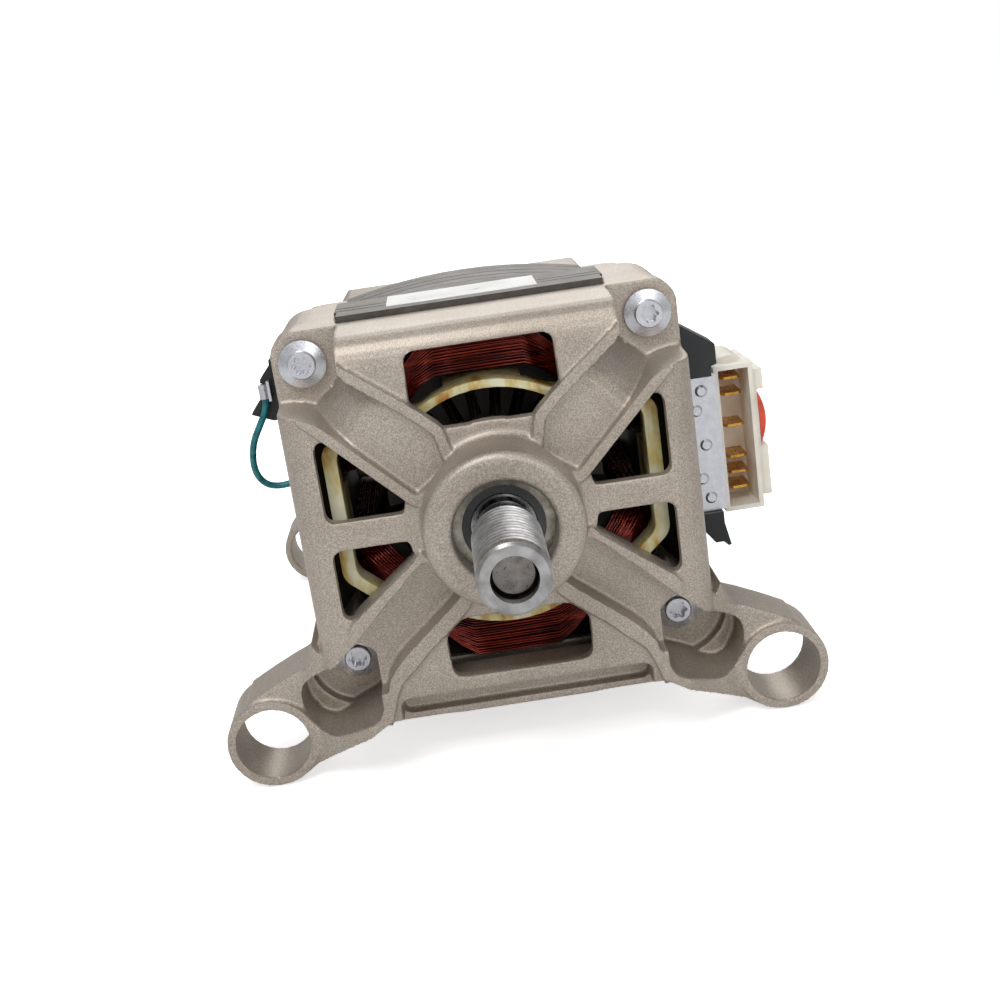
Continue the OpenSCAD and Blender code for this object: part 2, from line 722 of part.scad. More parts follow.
module stator_stack() color("#8f9092") place() difference() {
    union() {
        along(skirt_end, skirt_end + ledge_len) polygon(stack_outline(0, ledge_rise));
        along(skirt_end + ledge_len, stack_end) polygon(stack_outline(stack_fall, 0));
        block([-nose_half, nose_front, shell_top - wall - over / 2], [nose_half, skirt_end, stack_crown + ledge_rise]);
    }
    along(skirt_end - over, stack_end + over) {
        circle(r = bore_r);
        for (s = [-1, 1]) {
            translate([s * (slot_in + slot_out) / 2, 0]) square([slot_out - slot_in, 2 * slot_half_h], center = true);
            translate([s * slot_in, 0]) square([slot_in / 2, 2 * slot_mouth], center = true);
        }
    }
    for (s = ledge_groove_shares) top_groove(nose_front + s * (skirt_end + ledge_len - nose_front), 0, ledge_rise);
    for (s = crown_groove_shares) top_groove(skirt_end + ledge_len + s * (stack_len - ledge_len), stack_fall, 0);
}

// Where the wire of a field coil runs: a rounded rectangle in X and Y, and a height that
// climbs from the slot to the end turn
coil_half_w = slot_out - wire_r - 0.6;
coil_overhang = 12;
coil_front = skirt_end - coil_overhang;
coil_back = stack_end + coil_overhang;
coil_turn_r = 12;
coil_low = 9.6;
coil_high = 36.7;
coil_rings = 24;
coil_side = coil_back - coil_front - 2 * coil_turn_r;
coil_flat = 2 * (coil_half_w - coil_turn_r);
coil_arc = 90 * PI / 180 * coil_turn_r;
coil_round = 2 * coil_side + 2 * coil_flat + 4 * coil_arc;

// Place on the rounded rectangle at distance s from the middle of the right side
function coil_xy(s) =
    let (t = s - coil_round * floor(s / coil_round),
        a = coil_side / 2, b = a + coil_arc, c = b + coil_flat, d = c + coil_arc, e = d + coil_side,
        g = e + coil_arc, h = g + coil_flat, j = h + coil_arc,
        x = coil_half_w - coil_turn_r, y = coil_side / 2, m = (coil_front + coil_back) / 2)
    t < a ? [coil_half_w, m + t]
    : t < b ? let (q = 90 * (t - a) / coil_arc) [x + coil_turn_r * cos(q), m + y + coil_turn_r * sin(q)]
    : t < c ? [x - (t - b), coil_back]
    : t < d ? let (q = 90 * (t - c) / coil_arc) [-x - coil_turn_r * sin(q), m + y + coil_turn_r * cos(q)]
    : t < e ? [-coil_half_w, m + y - (t - d)]
    : t < g ? let (q = 90 * (t - e) / coil_arc) [-x - coil_turn_r * cos(q), m - y - coil_turn_r * sin(q)]
    : t < h ? [-x + (t - g), coil_front]
    : t < j ? let (q = 90 * (t - h) / coil_arc) [x + coil_turn_r * sin(q), m - y - coil_turn_r * cos(q)]
    : [coil_half_w, m - y + (t - j)];

// How far along the climb the wire is, from 0 in the slot to 1 at the end turn
climb_len = coil_arc + 0.32 * coil_flat;
function climb_step(q) = q <= 0 ? 0 : (q >= 1 ? 1 : q * q * (3 - 2 * q));
function climb_rate(q) = (q <= 0 || q >= 1) ? 0 : 6 * q * (1 - q) / climb_len;
function to_side(s) =
    let (half = coil_round / 2, t = s - half * floor(s / half))
    min(t, half - t) - coil_side / 2;
function climb_sign(s) =
    let (half = coil_round / 2, t = s - half * floor(s / half))
    t < half / 2 ? 1 : -1;
function coil_height(s) = coil_low + (coil_high - coil_low) * climb_step(to_side(s) / climb_len);
function coil_tilt(s) = climb_sign(s) * atan((coil_high - coil_low) * climb_rate(to_side(s) / climb_len));

// A point of the wire: s along the round, u up the side of the coil
function coil_point(s, u) =
    let (a = coil_tilt(s), p = coil_xy(s - u * sin(a)))
    [p[0], p[1], coil_height(s) + u * cos(a)];

// The rings lie close together in the bends and further apart on the straight runs
ring_shares = [0, 0.34, 0.5, 0.585, 0.67, 0.78];
function ring_place(k) =
    let (turn = floor(k / coil_rings), j = k % coil_rings, quarter = floor(j / 6), i = j % 6,
        q = quarter % 2 == 0 ? ring_shares[i] : 1 - ring_shares[6 - i > 5 ? 0 : 6 - i],
        span = coil_round / 4, share = quarter % 2 == 0 ? q : (i == 0 ? 0 : 1 - ring_shares[6 - i]))
    turn * coil_round + quarter * span + share * span;
function coil_path() = [
    for (k = [0:coil_loops * coil_rings])
    coil_point(ring_place(k), coil_pitch * k / coil_rings)];

// One unbroken tube of round section along a path
tube_sides = 6;
function path_dir(pts, i) = unit(pts[min(i + 1, len(pts) - 1)] - pts[max(i - 1, 0)]);
function level(d) = unit(cross(d, [0, 0, 1]));
function ring_points(pts, i, r) =
    let (d = path_dir(pts, i), a = level(d), b = cross(a, d))
    [for (k = [0:tube_sides - 1]) pts[i] + r * (cos(360 * k / tube_sides) * a + sin(360 * k / tube_sides) * b)];
function quads(n) = [
    for (i = [0:n - 2]) for (k = [0:tube_sides - 1])
    let (a = i * tube_sides + k, b = i * tube_sides + (k + 1) % tube_sides, c = b + tube_sides, d = a + tube_sides)
    each [[a, b, c], [a, c, d]]];
function fan(first) = [for (k = [1:tube_sides - 2]) [first, first + k, first + k + 1]];
function turned_over(faces) = [for (f = faces) [f[2], f[1], f[0]]];

module wire(pts, r) {
    n = len(pts);
    polyhedron([for (i = [0:n - 1]) each ring_points(pts, i, r)],
        concat(quads(n), turned_over(fan(0)), fan((n - 1) * tube_sides)));
}

// The least distance from one loop to the next, less the wire's thickness
function segment_gap(p, a, b) =
    let (v = b - a, t = max(0, min(1, (p - a) * v / (v * v))))
    norm(p - a - t * v);
winding = coil_path();
least_gap = min([
    for (i = [0:len(winding) - 1 - coil_rings])
    for (j = [max(0, i + coil_rings - 3):min(len(winding) - 2, i + coil_rings + 3)])
    segment_gap(winding[i], winding[j], winding[j + 1])]) - 2 * wire_r;
echo(least_gap_of_field_coils = least_gap);

core_inset = wire_r + 0.45;
core_thick = 8;
core_lift = 0.4;
core_tall = coil_pitch * coil_loops;

function core_band(n, lift) = [
    for (k = [-n:n])
    let (s = 3 * coil_round / 4 + (k / n) * (coil_round / 4 - coil_side / 2))
    [coil_xy(s)[0], coil_height(s) + lift]];

module rounded_plan(inset, r) {
    w = coil_half_w - inset;
    polygon(eased([[w, coil_front + inset], [w, coil_back - inset], [-w, coil_back - inset],
        [-w, coil_front + inset]], r));
}

module coil_core() {
    band = core_band(10, 0);
    n = len(band);
    intersection() {
        union() {
            along(coil_front, skirt_end) polygon(concat([for (p = band) [p[0], p[1] + core_lift]],
                [for (i = [n - 1:-1:0]) [band[i][0], band[i][1] + core_tall]]));
            along(stack_end, coil_back) polygon(concat([for (p = band) [p[0], p[1] + core_lift]],
                [for (i = [n - 1:-1:0]) [band[i][0], band[i][1] + core_tall]]));
            both_sides() block([coil_half_w - core_inset - core_thick, skirt_end - over, coil_low],
                [coil_half_w - core_inset, stack_end + over, coil_low + core_tall]);
        }
        linear_extrude(2 * coil_high) difference() {
            rounded_plan(core_inset, 1.5 * coil_turn_r);
            rounded_plan(core_inset + core_thick, coil_turn_r);
        }
    }
}

module field_coil() {
    wire(winding, wire_r);
    coil_core();
}

module field_coil_upper() color(copper_colour) place() field_coil();
module field_coil_lower() color(copper_colour) place() mirror([0, 0, 1]) field_coil();

frame_front = 28;
frame_lip = 8.4;
frame_arc_out = 35.8;
frame_arc_in = 33.5;
frame_half_w = shell_half_w - 3.63 * wall;
frame_wall = 4;

// Corners of the insulating frame where its upright bars bend towards the arcs, as shares of the
// half width and of the arc's radius
frame_top_shares = [[1, 0.63], [0.915, 0.705]];
frame_low_shares = [[1, 0.45], [0.79, 0.69]];
function frame_half(w, r, shares) = let (c = scaled(shares, w, r))
    concat(c, [for (k = [5:-1:-5]) [r * sin(6 * k), r * cos(6 * k)]], [[-c[1][0], c[1][1]], [-c[0][0], c[0][1]]]);
function frame_outline(w, r) =
    concat(frame_half(w, r, frame_top_shares), [for (p = frame_half(w, r, frame_low_shares)) -p]);

module frame_ring() {
    difference() {
        polygon(frame_outline(frame_half_w, frame_arc_out));
        polygon(frame_outline(frame_half_w - frame_wall, frame_arc_in));
    }
}

module coil_frame() {
    along(frame_front, frame_front + frame_lip) frame_ring();
    along(frame_front + frame_lip, skirt_end) intersection() {
        frame_ring();
        union() {
            square([2 * shell_half_w, 2 * (coil_low - 2 * slip - wire_r)], center = true);
            square([0.62 * frame_arc_out, 3 * frame_arc_out], center = true);
        }
    }
}

module coil_frame_front() color(cream_colour) place() coil_frame();
module coil_frame_rear() color(cream_colour) place()
    translate([0, skirt_end + stack_end, 0]) mirror([0, 1, 0]) coil_frame();

// The plain label on the flat front part of the core
label_t = 0.2;
label_half_w = 21.8;
label_shift = 1.9;
label_start = 4.8;
label_len = 20.4;
module blank_label() color("white") place()
    block([-label_half_w - label_shift, nose_front + label_start, stack_crown + ledge_rise + seat_gap],
        [label_half_w - label_shift, nose_front + label_start + label_len, stack_crown + ledge_rise + label_t]);

// Fasteners

head_r = 4;
head_h = 1.8;
flange_h = 1.6;
recess_r = 2.8;
recess_deep = 2.4;

// Six-lobed recess: a round hole with six round notches at its rim
module lobed(r, a, b) {
    rod(0.78 * r, a, b);
    for (k = [0:5]) rotate([0, 60 * k, 0]) translate([0.74 * r, 0, 0]) rod(0.26 * r, a, b);
}

module shield_screw(seat) {
    difference() {
        turned([[0, seat - flange_h - head_h], [head_r - slip, seat - flange_h - head_h],
            [head_r, seat - flange_h - head_h + slip], [head_r, seat - flange_h],
            [flange_r, seat - flange_h / 2], [flange_r, seat], [screw_r, seat],
            [screw_r, stack_end + wall], [0, stack_end + wall]]);
        lobed(recess_r, seat - flange_h - head_h - over, seat - flange_h - head_h + recess_deep);
    }
}

module shield_screws() color(steel_colour) place() both_sides() {
    translate([screw_x, 0, screw_z]) shield_screw(pad_upper);
    translate([screw_x, 0, -screw_z]) shield_screw(pad_lower);
}

// Bearings: two rings with raceways, balls, a cage and two seals

ball_count = 7;
front_pitch_r = (shaft_r + bearing_r) / 2 + 0.2;
front_ball_r = 2.35;
rear_shaft_r = 5;
rear_pitch_r = (rear_shaft_r + rear_bearing_r) / 2;
rear_ball_r = 2.15;
ring_thick = 2.6;
groove_gap = 0.08;
seal_t = 0.5;
seal_back = 0.15;

module raceway(pitch_r, r, depth) {
    translate([0, depth, 0]) rotate([-90, 0, 0]) rotate_extrude() translate([pitch_r, 0]) circle(r = r);
}

module bearing_outer(outer, pitch_r, ball_r, front) {
    difference() {
        tube(outer, outer - ring_thick, front, front + bearing_w);
        raceway(pitch_r, ball_r + groove_gap, front + bearing_w / 2);
    }
}

module bearing_inner(inner, pitch_r, ball_r, front) {
    difference() {
        tube(inner + ring_thick + 0.3, inner + seat_gap, front, front + bearing_w);
        raceway(pitch_r, ball_r + groove_gap, front + bearing_w / 2);
    }
}

module bearing_seals(inner, outer, front) {
    for (a = [front + seal_back, front + bearing_w - seal_back - seal_t])
        tube(outer - ring_thick - seat_gap, inner + ring_thick + 0.3 + run_gap, a, a + seal_t);
}

module bearing_balls(pitch_r, ball_r, front) {
    for (k = [0:ball_count - 1]) rotate([0, 360 * k / ball_count, 0])
        translate([pitch_r, front + bearing_w / 2, 0]) sphere(r = ball_r);
}

module bearing_cage(pitch_r, ball_r, front) {
    inset = seal_back + seal_t + run_gap;
    difference() {
        tube(pitch_r + 0.55, pitch_r - 0.6, front + inset, front + bearing_w - inset);
        for (k = [0:ball_count - 1]) rotate([0, 360 * k / ball_count, 0])
            translate([pitch_r - ball_r, front + bearing_w / 2, 0]) rotate([0, 90, 0])
                cylinder(r = ball_r + groove_gap, h = 2 * ball_r);
    }
}

module front_bearing_outer() color(dark_steel) place()
    bearing_outer(bearing_r, front_pitch_r, front_ball_r, bearing_front);
module front_bearing_inner() color(steel_colour) place()
    bearing_inner(shaft_r, front_pitch_r, front_ball_r, bearing_front);
module front_bearing_seals() color(black_colour) place()
    bearing_seals(shaft_r, bearing_r, bearing_front);
module front_bearing_balls() color(steel_colour) place()
    bearing_balls(front_pitch_r, front_ball_r, bearing_front);
module front_bearing_cage() color(brass_colour) place()
    bearing_cage(front_pitch_r, front_ball_r, bearing_front);
module rear_bearing_outer() color(dark_steel) place()
    bearing_outer(rear_bearing_r, rear_pitch_r, rear_ball_r, rear_bearing_front);
module rear_bearing_inner() color(steel_colour) place()
    bearing_inner(rear_shaft_r, rear_pitch_r, rear_ball_r, rear_bearing_front);
module rear_bearing_seals() color(black_colour) place()
    bearing_seals(rear_shaft_r, rear_bearing_r, rear_bearing_front);
module rear_bearing_balls() color(steel_colour) place()
    bearing_balls(rear_pitch_r, rear_ball_r, rear_bearing_front);
module rear_bearing_cage() color(brass_colour) place()
    bearing_cage(rear_pitch_r, rear_ball_r, rear_bearing_front);

module rear_wave_washer() color(steel_colour) place() {
    start = rear_bearing_front + bearing_w + seat_gap;
    tube(rear_bearing_r - slip, rear_bearing_r - wall + slip, start, start + washer_h - 2 * seat_gap);
}

// Rotor

shaft_front = pulley_reach - 4.6;
shaft_mid_r = 8.5;
shaft_mid_front = bearing_front + bearing_w + 2.5 * wall;
shaft_back = rear_plane + sensor_len + wall;
edge = 0.8;

module shaft() color(steel_colour) place()
    turned([[0, -shaft_front], [shaft_r - edge, -shaft_front], [shaft_r, edge - shaft_front],
        [shaft_r, shaft_mid_front], [shaft_mid_r, shaft_mid_front],
        [shaft_mid_r, rear_bearing_front - 2 * wall], [rear_shaft_r, rear_bearing_front - 2 * wall],
        [rear_shaft_r, shaft_back - edge], [rear_shaft_r - edge, shaft_back], [0, shaft_back]]);

rib_deep = 1.7;
collar_len = 3.2;
pulley_back = 3.4;
module pulley() color(steel_colour) place() {
    tip = -pulley_reach;
    first = tip + collar_len + 0.4;
    turned(concat(
        [[shaft_r + seat_gap, bearing_front - pulley_back + over], [shaft_r + seat_gap, tip],
            [pulley_r - edge, tip], [pulley_r, tip + edge], [pulley_r, tip + collar_len]],
        [for (k = [0:rib_count - 1]) each [
            [pulley_r - rib_deep, first + rib_pitch * k + 0.1], [pulley_r - rib_deep, first + rib_pitch * k + 0.5],
            [pulley_r, first + rib_pitch * (k + 0.5)], [pulley_r, first + rib_pitch * (k + 0.5) + 0.3]]],
        [[pulley_r - rib_deep, first + rib_pitch * rib_count + 0.1],
            [pulley_r - rib_deep, bearing_front - pulley_back + over]]));
}

slot_count = 24;
core_r = bore_r - air_gap;
winding_slot_w = 3.4;
winding_slot_in = 21;
module armature_core() color("#77797c") place() difference() {
    tube(core_r, shaft_mid_r + seat_gap, skirt_end, stack_end);
    for (k = [0:slot_count - 1]) rotate([0, 360 * (k + 0.5) / slot_count, 0])
        block([winding_slot_in, skirt_end - over, -winding_slot_w / 2],
            [core_r + over, stack_end + over, winding_slot_w / 2]);
}

front_overhang = 12;
overhang_inset = 3.4;
overhang_r = core_r - overhang_inset;
bundle_half = winding_slot_w / 2 - slip / 2;
function bun(start, finish) = eased([[shaft_mid_r + wall, start], [shaft_mid_r + wall, finish],
    [overhang_r, finish], [overhang_r, start]], [1, 1, 5, 1]);
module armature_winding() color(copper_colour) place() {
    turned(bun(skirt_end - slip, skirt_end - front_overhang));
    turned(bun(stack_end + slip, stack_end + rear_overhang - wall));
    for (k = [0:slot_count - 1]) rotate([0, 360 * (k + 0.5) / slot_count, 0])
        block([winding_slot_in + slip, skirt_end - over, -bundle_half],
            [overhang_r - slip, stack_end + over, bundle_half]);
}

bar_deep = 5.4;
hub_r = comm_r - bar_deep;
mica = 0.7;
module commutator_bars() color("#b06a3a") place() difference() {
    union() {
        tube(comm_r, hub_r + seat_gap, comm_front, comm_front + comm_len);
        tube(comm_r + wall, hub_r + seat_gap, comm_front, comm_front + wall);
    }
    for (k = [0:bar_count - 1]) rotate([0, 360 * k / bar_count, 0])
        block([0, comm_front - over, -mica / 2], [comm_r + 2 * wall, comm_front + comm_len + over, mica / 2]);
}
module commutator_hub() color("#3a2a1e") place()
    tube(hub_r, shaft_mid_r + seat_gap, comm_front - over, comm_front + comm_len + over);

// Speed sensor at the back

magnet_r = 8;
magnet_front = rear_plane + rib_rise + sensor_len / 4 + slip;
sensor_back = magnet_front + sensor_len;
sensor_coil_in = magnet_r + 1.2;
sensor_coil_out = rear_hub_r - wall;
module tacho_magnet() color("#4a4a4e") place()
    tube(magnet_r, rear_shaft_r + seat_gap, magnet_front, magnet_front + 0.8 * sensor_len);
module tacho_coil() color("#7a2a18") place()
    tube(sensor_coil_out, sensor_coil_in, magnet_front - slip, sensor_back);
module tacho_cap() color(black_colour) place() difference() {
    union() {
        rod(rear_hub_r, magnet_front - slip, sensor_back + wall);
        along(magnet_front - slip, magnet_front - slip + wall / 2)
            square([3 * rear_hub_r, rear_hub_r / 2], center = true);
    }
    rod(sensor_coil_out + seat_gap, magnet_front - over, sensor_back);
    rod(rear_shaft_r + over, sensor_back - over, sensor_back + wall + over);
}

// Brush gear: holders, guides, carbons and springs

brush_in = comm_r + run_gap;
brush_out = brush_in + brush_len;
guide_wall = 1;
guide_in = comm_r + 2;
holder_in = guide_in + wall;
holder_out = rear_half_w + over;
guide_out = holder_out - wall;
spring_out = guide_out - slip;
flange_out = rear_half_w - wall - seat_gap;
flange_thick = 2;

module centred(x0, x1, w, h) {
    block([x0, brush_depth - w / 2, -h / 2], [x1, brush_depth + w / 2, h / 2]);
}

module brush_guide() difference() {
    centred(guide_in, guide_out, brush_w + 2 * slip + 2 * guide_wall, brush_h + 2 * slip + 2 * guide_wall);
    centred(guide_in - over, guide_out + over, brush_w + 2 * slip, brush_h + 2 * slip);
}

module brush_holder() difference() {
    union() {
        centred(holder_in, holder_out, holder_w, holder_h);
        block([flange_out - flange_thick, brush_depth - port_half_w - wall, -holder_screw_z - wall],
            [flange_out, brush_depth + port_half_w + wall, holder_screw_z + wall]);
    }
    centred(holder_in - over, guide_out + seat_gap, brush_w + 2 * slip + 2 * guide_wall + 2 * seat_gap,
        brush_h + 2 * slip + 2 * guide_wall + 2 * seat_gap);
    both_halves() translate([flange_out - wall, brush_depth, holder_screw_z]) rotate([0, 90, 0])
        cylinder(r = holder_screw_r + seat_gap, h = 2 * wall);
}

module carbon_brush() difference() {
    centred(brush_in - over, brush_out, brush_w, brush_h);
    rod(brush_in, brush_depth - brush_w, brush_depth + brush_w);
}

module brush_spring() translate([0, brush_depth, 0]) rotate([0, 90, 0]) difference() {
    translate([0, 0, brush_out + seat_gap]) cylinder(r = brush_h / 2, h = spring_out - brush_out - seat_gap);
    translate([0, 0, brush_out - over]) cylinder(r = brush_h / 2 - 0.6, h = spring_out - brush_out + 2 * over);
}

module brush_guide_right() color(brass_colour) place() brush_guide();
module brush_guide_left() color(brass_colour) place() mirror([1, 0, 0]) brush_guide();
module brush_holder_right() color(black_colour) place() brush_holder();
module brush_holder_left() color(black_colour) place() mirror([1, 0, 0]) brush_holder();
module carbon_brush_right() color("#2b2b2d") place() carbon_brush();
module carbon_brush_left() color("#2b2b2d") place() mirror([1, 0, 0]) carbon_brush();
module brush_spring_right() color(steel_colour) place() brush_spring();
module brush_spring_left() color(steel_colour) place() mirror([1, 0, 0]) brush_spring();

module brush_holder_screws() color(steel_colour) place() both_sides() both_halves()
    translate([0, brush_depth, holder_screw_z]) rotate([0, 90, 0]) {
        translate([0, 0, flange_out - flange_thick])
            cylinder(r = holder_screw_r, h = rear_half_w + seat_gap - flange_out + flange_thick);
        difference() {
            translate([0, 0, rear_half_w + seat_gap]) cylinder(r = 2 * holder_screw_r, h = 0.6 * wall);
            translate([-2 * holder_screw_r, -mica / 2, rear_half_w + 0.4 * wall])
                cube([4 * holder_screw_r, mica, wall]);
        }
    }

// Terminal block on the right side

bracket_t = 1;
bracket_front = 56;
bracket_half_h = 21;
bracket_in = stack_half_w + slip;
block_x = bracket_in + 3.8 * wall + slip;
bracket_out = block_x - slip / 2;
block_front = bracket_front + 4;
block_top = 22.5;
block_low = block_top - block_h;
block_wall = 1.4;
socket_deep = 15;
dimple_r = 2.1;
dimple_seat = 0.2;
dimple_places = [0.8, 0.52, 0, -0.5, -0.8];
bracket_mid = (bracket_in + bracket_out) / 2;

module terminal_bracket() color(zinc_colour) place() difference() {
    union() {
        difference() {
            block([bracket_in, bracket_front, -bracket_half_h], [bracket_out, bracket_front + block_l, bracket_half_h]);
            block([bracket_in + bracket_t, bracket_front + bracket_t, -bracket_half_h - over],
                [bracket_out - bracket_t, bracket_front + block_l + over, bracket_half_h + over]);
        }
        for (p = dimple_places)
            translate([bracket_mid + (p > 0.6 || p == 0 || p < -0.6 ? over : -over),
                bracket_front + dimple_seat, p * bracket_half_h])
            rotate([90, 0, 0]) cylinder(r1 = dimple_r, r2 = 0.6 * dimple_r, h = 0.8);
    }
    for (z = [-0.6, 0.6]) translate([0, bracket_front + 0.6 * block_l, z * bracket_half_h])
        rotate([0, 90, 0]) cylinder(r = 2, h = bracket_in + 2 * over);
}

// Upper and lower plastic clips that hold the bracket, as shares of the bracket's reach
module clip_wedge(points) {
    along(bracket_front - 2 * over, bracket_front + 3 * wall) polygon(points);
}
module bracket_clip_upper() color(black_colour) place() {
    z = bracket_half_h + slip;
    clip_wedge([[bracket_in + wall / 2, z], [bracket_out - wall / 2, z], [bracket_out - wall / 2, z + wall],
        [bracket_out + slip, z + 1.2 * wall], [bracket_out + slip, z + 3.2 * wall],
        [shell_half_w + wall / 2, z + 5.6 * wall], [shell_half_w + slip, z + 5.6 * wall],
        [bracket_in, z + 2.2 * wall], [bracket_in + wall / 2, z + 1.6 * wall]]);
}
module bracket_clip_lower() color(black_colour) place() {
    z = -bracket_half_h - slip;
    clip_wedge([[bracket_in + wall / 2, z], [bracket_in + wall / 2, z - wall], [bracket_out - 1.7 * wall, z - 3.2 * wall],
        [bracket_out - 0.9 * wall, z - 3.2 * wall], [bracket_out - 0.4 * wall, z - 3.7 * wall],
        [bracket_out - 0.1 * wall, z - 3.6 * wall], [bracket_out - 0.6 * wall, z - 1.2 * wall], [bracket_out - 0.6 * wall, z]]);
}

rear_hood = 3.4;
module terminal_block() color("#ede6da") place() difference() {
    union() {
        block([block_x, block_front, block_low], [block_x + block_w, block_front + block_l, block_top]);
        block([block_x + block_w - over, block_front + wall, block_low + wall],
            [block_x + block_w + rear_hood, block_front + block_l, block_top - wall]);
        translate([block_x + block_w / 2, 0, block_top - 0.3 * block_w])
            rod(0.46 * block_w, block_front + 2 * wall, block_front + block_l);
    }
    block([block_x + block_wall, block_front - over, block_low + block_wall],
        [block_x + block_w - block_wall, block_front + socket_deep, block_top - block_wall]);
    block([block_x + block_w + 0.4 * rear_hood, block_front + wall - over, -1.6 * wall],
        [block_x + block_w + 2 * rear_hood, block_front + 4 * wall, 4.4 * wall]);
}

tab_slots = [0, 1, 3, 5, 6, 7];
tab_top = block_top - block_wall - 3.6;
tab_reach = 10;
module terminal_tabs() color(brass_colour) place() for (k = tab_slots) {
    z = tab_top - tab_pitch * k;
    y0 = block_front + socket_deep - tab_reach;
    difference() {
        translate([block_x + block_w / 2, 0, z - tab_t / 2]) linear_extrude(tab_t)
            polygon([[-tab_w / 2, block_front + socket_deep], [-tab_w / 2, y0 + over], [over - tab_w / 2, y0],
                [tab_w / 2 - over, y0], [tab_w / 2, y0 + over], [tab_w / 2, block_front + socket_deep]]);
        translate([block_x + block_w / 2, y0 + tab_reach / 2, z - tab_t]) cylinder(r = tab_t, h = 2 * tab_t);
    }
}

lock_in = block_x + block_w + 0.4 * rear_hood + slip / 2;
module lock_slide() color("#d8452b") place()
    along(block_front + wall + slip, block_front + 4 * wall - slip) intersection() {
        translate([lock_in, -1.6 * wall + slip]) square([rear_hood, 6 * wall - 2 * slip]);
        translate([lock_in - 4.6 * rear_hood, 1.4 * wall]) circle(r = 5.2 * rear_hood);
    }

// Earth lead on the left side

clip_x = -shell_half_w;
clip_z = 36.4;
clip_w = 10.4;
clip_h = 9.6;
clip_y = bracket_front + over;
tab_z = clip_z + 0.2;
earth_tab_in = 3.2;
earth_tab_t = 0.8;
earth_tab_half = 3;
earth_tab_ahead = 3.5;
crimp_r = 1.5;
crimp_drop = 2.2;
earth_clip_shares = [[0, -0.96], [-0.4, -0.98], [-1, -0.7], [-0.96, -0.62], [-0.7, -0.3], [-0.3, -0.14],
    [-0.3, 0.14], [-0.6, 0.24], [-0.58, 0.36], [-0.26, 0.74], [-0.25, 0.9], [-0.12, 1], [0, 0.98]];
module earth_clip() color(black_colour) place() {
    along(clip_y, clip_y + 3 * wall) difference() {
        translate([clip_x, clip_z]) polygon(scaled(earth_clip_shares, clip_w, clip_h));
        translate([clip_x - earth_tab_in - earth_tab_t / 2, tab_z])
            square([earth_tab_t + 2 * seat_gap, 2 * earth_tab_half + slip], center = true);
    }
}
// The tab with its crimp, and the eyelet on the side of the core
module earth_tab() color(zinc_colour) place() {
    tab_front = clip_y - earth_tab_ahead;
    tab_out = clip_x - earth_tab_in - earth_tab_t;
    block([tab_out, tab_front, tab_z - earth_tab_half],
        [tab_out + earth_tab_t, clip_y + 3 * wall, tab_z + earth_tab_half]);
    translate([tab_out - crimp_r + over / 4, tab_front + crimp_r, tab_z - crimp_drop])
        cylinder(r = crimp_r, h = 1.4 * wall);
    translate([-stack_half_w - seat_gap, eyelet_y, eyelet_z]) rotate([0, -90, 0]) {
        cylinder(r = 3.4, h = eyelet_t);
        translate([0, 0, eyelet_t - over / 4]) cylinder(r = 2.3, h = eyelet_t + over / 4, $fn = 6);
    }
    translate([-stack_half_w - seat_gap - eyelet_t, eyelet_y - crimp_r, eyelet_z])
        cube([eyelet_t, 2 * crimp_r, 3 * wall]);
}
eyelet_t = 1.2;
eyelet_y = 62;
eyelet_z = -0.5;

// Route of the earth lead, in the object's own frame, chosen by hand
lead_r = 1;
lead_points = [[-63.55, -42, 111.25], [-63.6, -42, 110], [-64, -42, 108.4], [-64.8, -42, 106.5],
    [-66, -41.9, 104.5], [-67.4, -41.6, 102.2], [-68.7, -41.2, 100], [-69.8, -40.6, 97.5], [-70.5, -40, 95],
    [-71, -39.2, 92.3], [-71.1, -38.3, 89.7], [-70.7, -37.5, 87.3], [-69.7, -36.7, 85.2], [-68.2, -36, 83.7],
    [-66.2, -35.4, 82.9], [-64, -35.1, 82.7], [-61.7, -35, 82.9], [-59.3, -35, 83.1]];
lead_sides = 8;
function lead_ring(i) =
    let (d = path_dir(lead_points, i), a = unit(cross(d, [0, 1, 0])), b = cross(a, d))
    [for (k = [0:lead_sides - 1])
        lead_points[i] + lead_r * (cos(360 * k / lead_sides) * a + sin(360 * k / lead_sides) * b)];
module earth_lead() color("#0e6e72") {
    n = len(lead_points);
    polyhedron([for (i = [0:n - 1]) each lead_ring(i)], concat(
        [[for (k = [0:lead_sides - 1]) k]],
        [for (i = [0:n - 2]) for (k = [0:lead_sides - 1])
            let (a = i * lead_sides + k, b = i * lead_sides + (k + 1) % lead_sides)
            each [[a, a + lead_sides, b], [b, a + lead_sides, b + lead_sides]]],
        [[for (k = [lead_sides - 1:-1:0]) (n - 1) * lead_sides + k]]));
}

front_shield();
front_skirt();
front_legs();
rear_shield();
rear_end_plate();
rear_legs();
stator_stack();
field_coil_upper();
field_coil_lower();
coil_frame_front();
coil_frame_rear();
shield_screws();
blank_label();
front_bearing_outer();
front_bearing_inner();
front_bearing_seals();
front_bearing_balls();
front_bearing_cage();
rear_bearing_outer();
rear_bearing_inner();
rear_bearing_seals();
rear_bearing_balls();
rear_bearing_cage();
rear_wave_washer();
shaft();
pulley();
armature_core();
armature_winding();
commutator_bars();
commutator_hub();
tacho_magnet();
tacho_coil();
tacho_cap();
brush_holder_left();
brush_holder_right();
brush_guide_left();
brush_guide_right();
carbon_brush_left();
carbon_brush_right();
brush_spring_left();
brush_spring_right();
brush_holder_screws();
terminal_bracket();
bracket_clip_upper();
bracket_clip_lower();
terminal_block();
terminal_tabs();
lock_slide();
earth_clip();
earth_tab();
earth_lead();
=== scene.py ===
"""Washing machine motor: castings, windings, springs, lead and finishes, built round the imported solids."""

import json
import math

import bmesh
import bpy
from mathutils import Matrix, Vector, noise


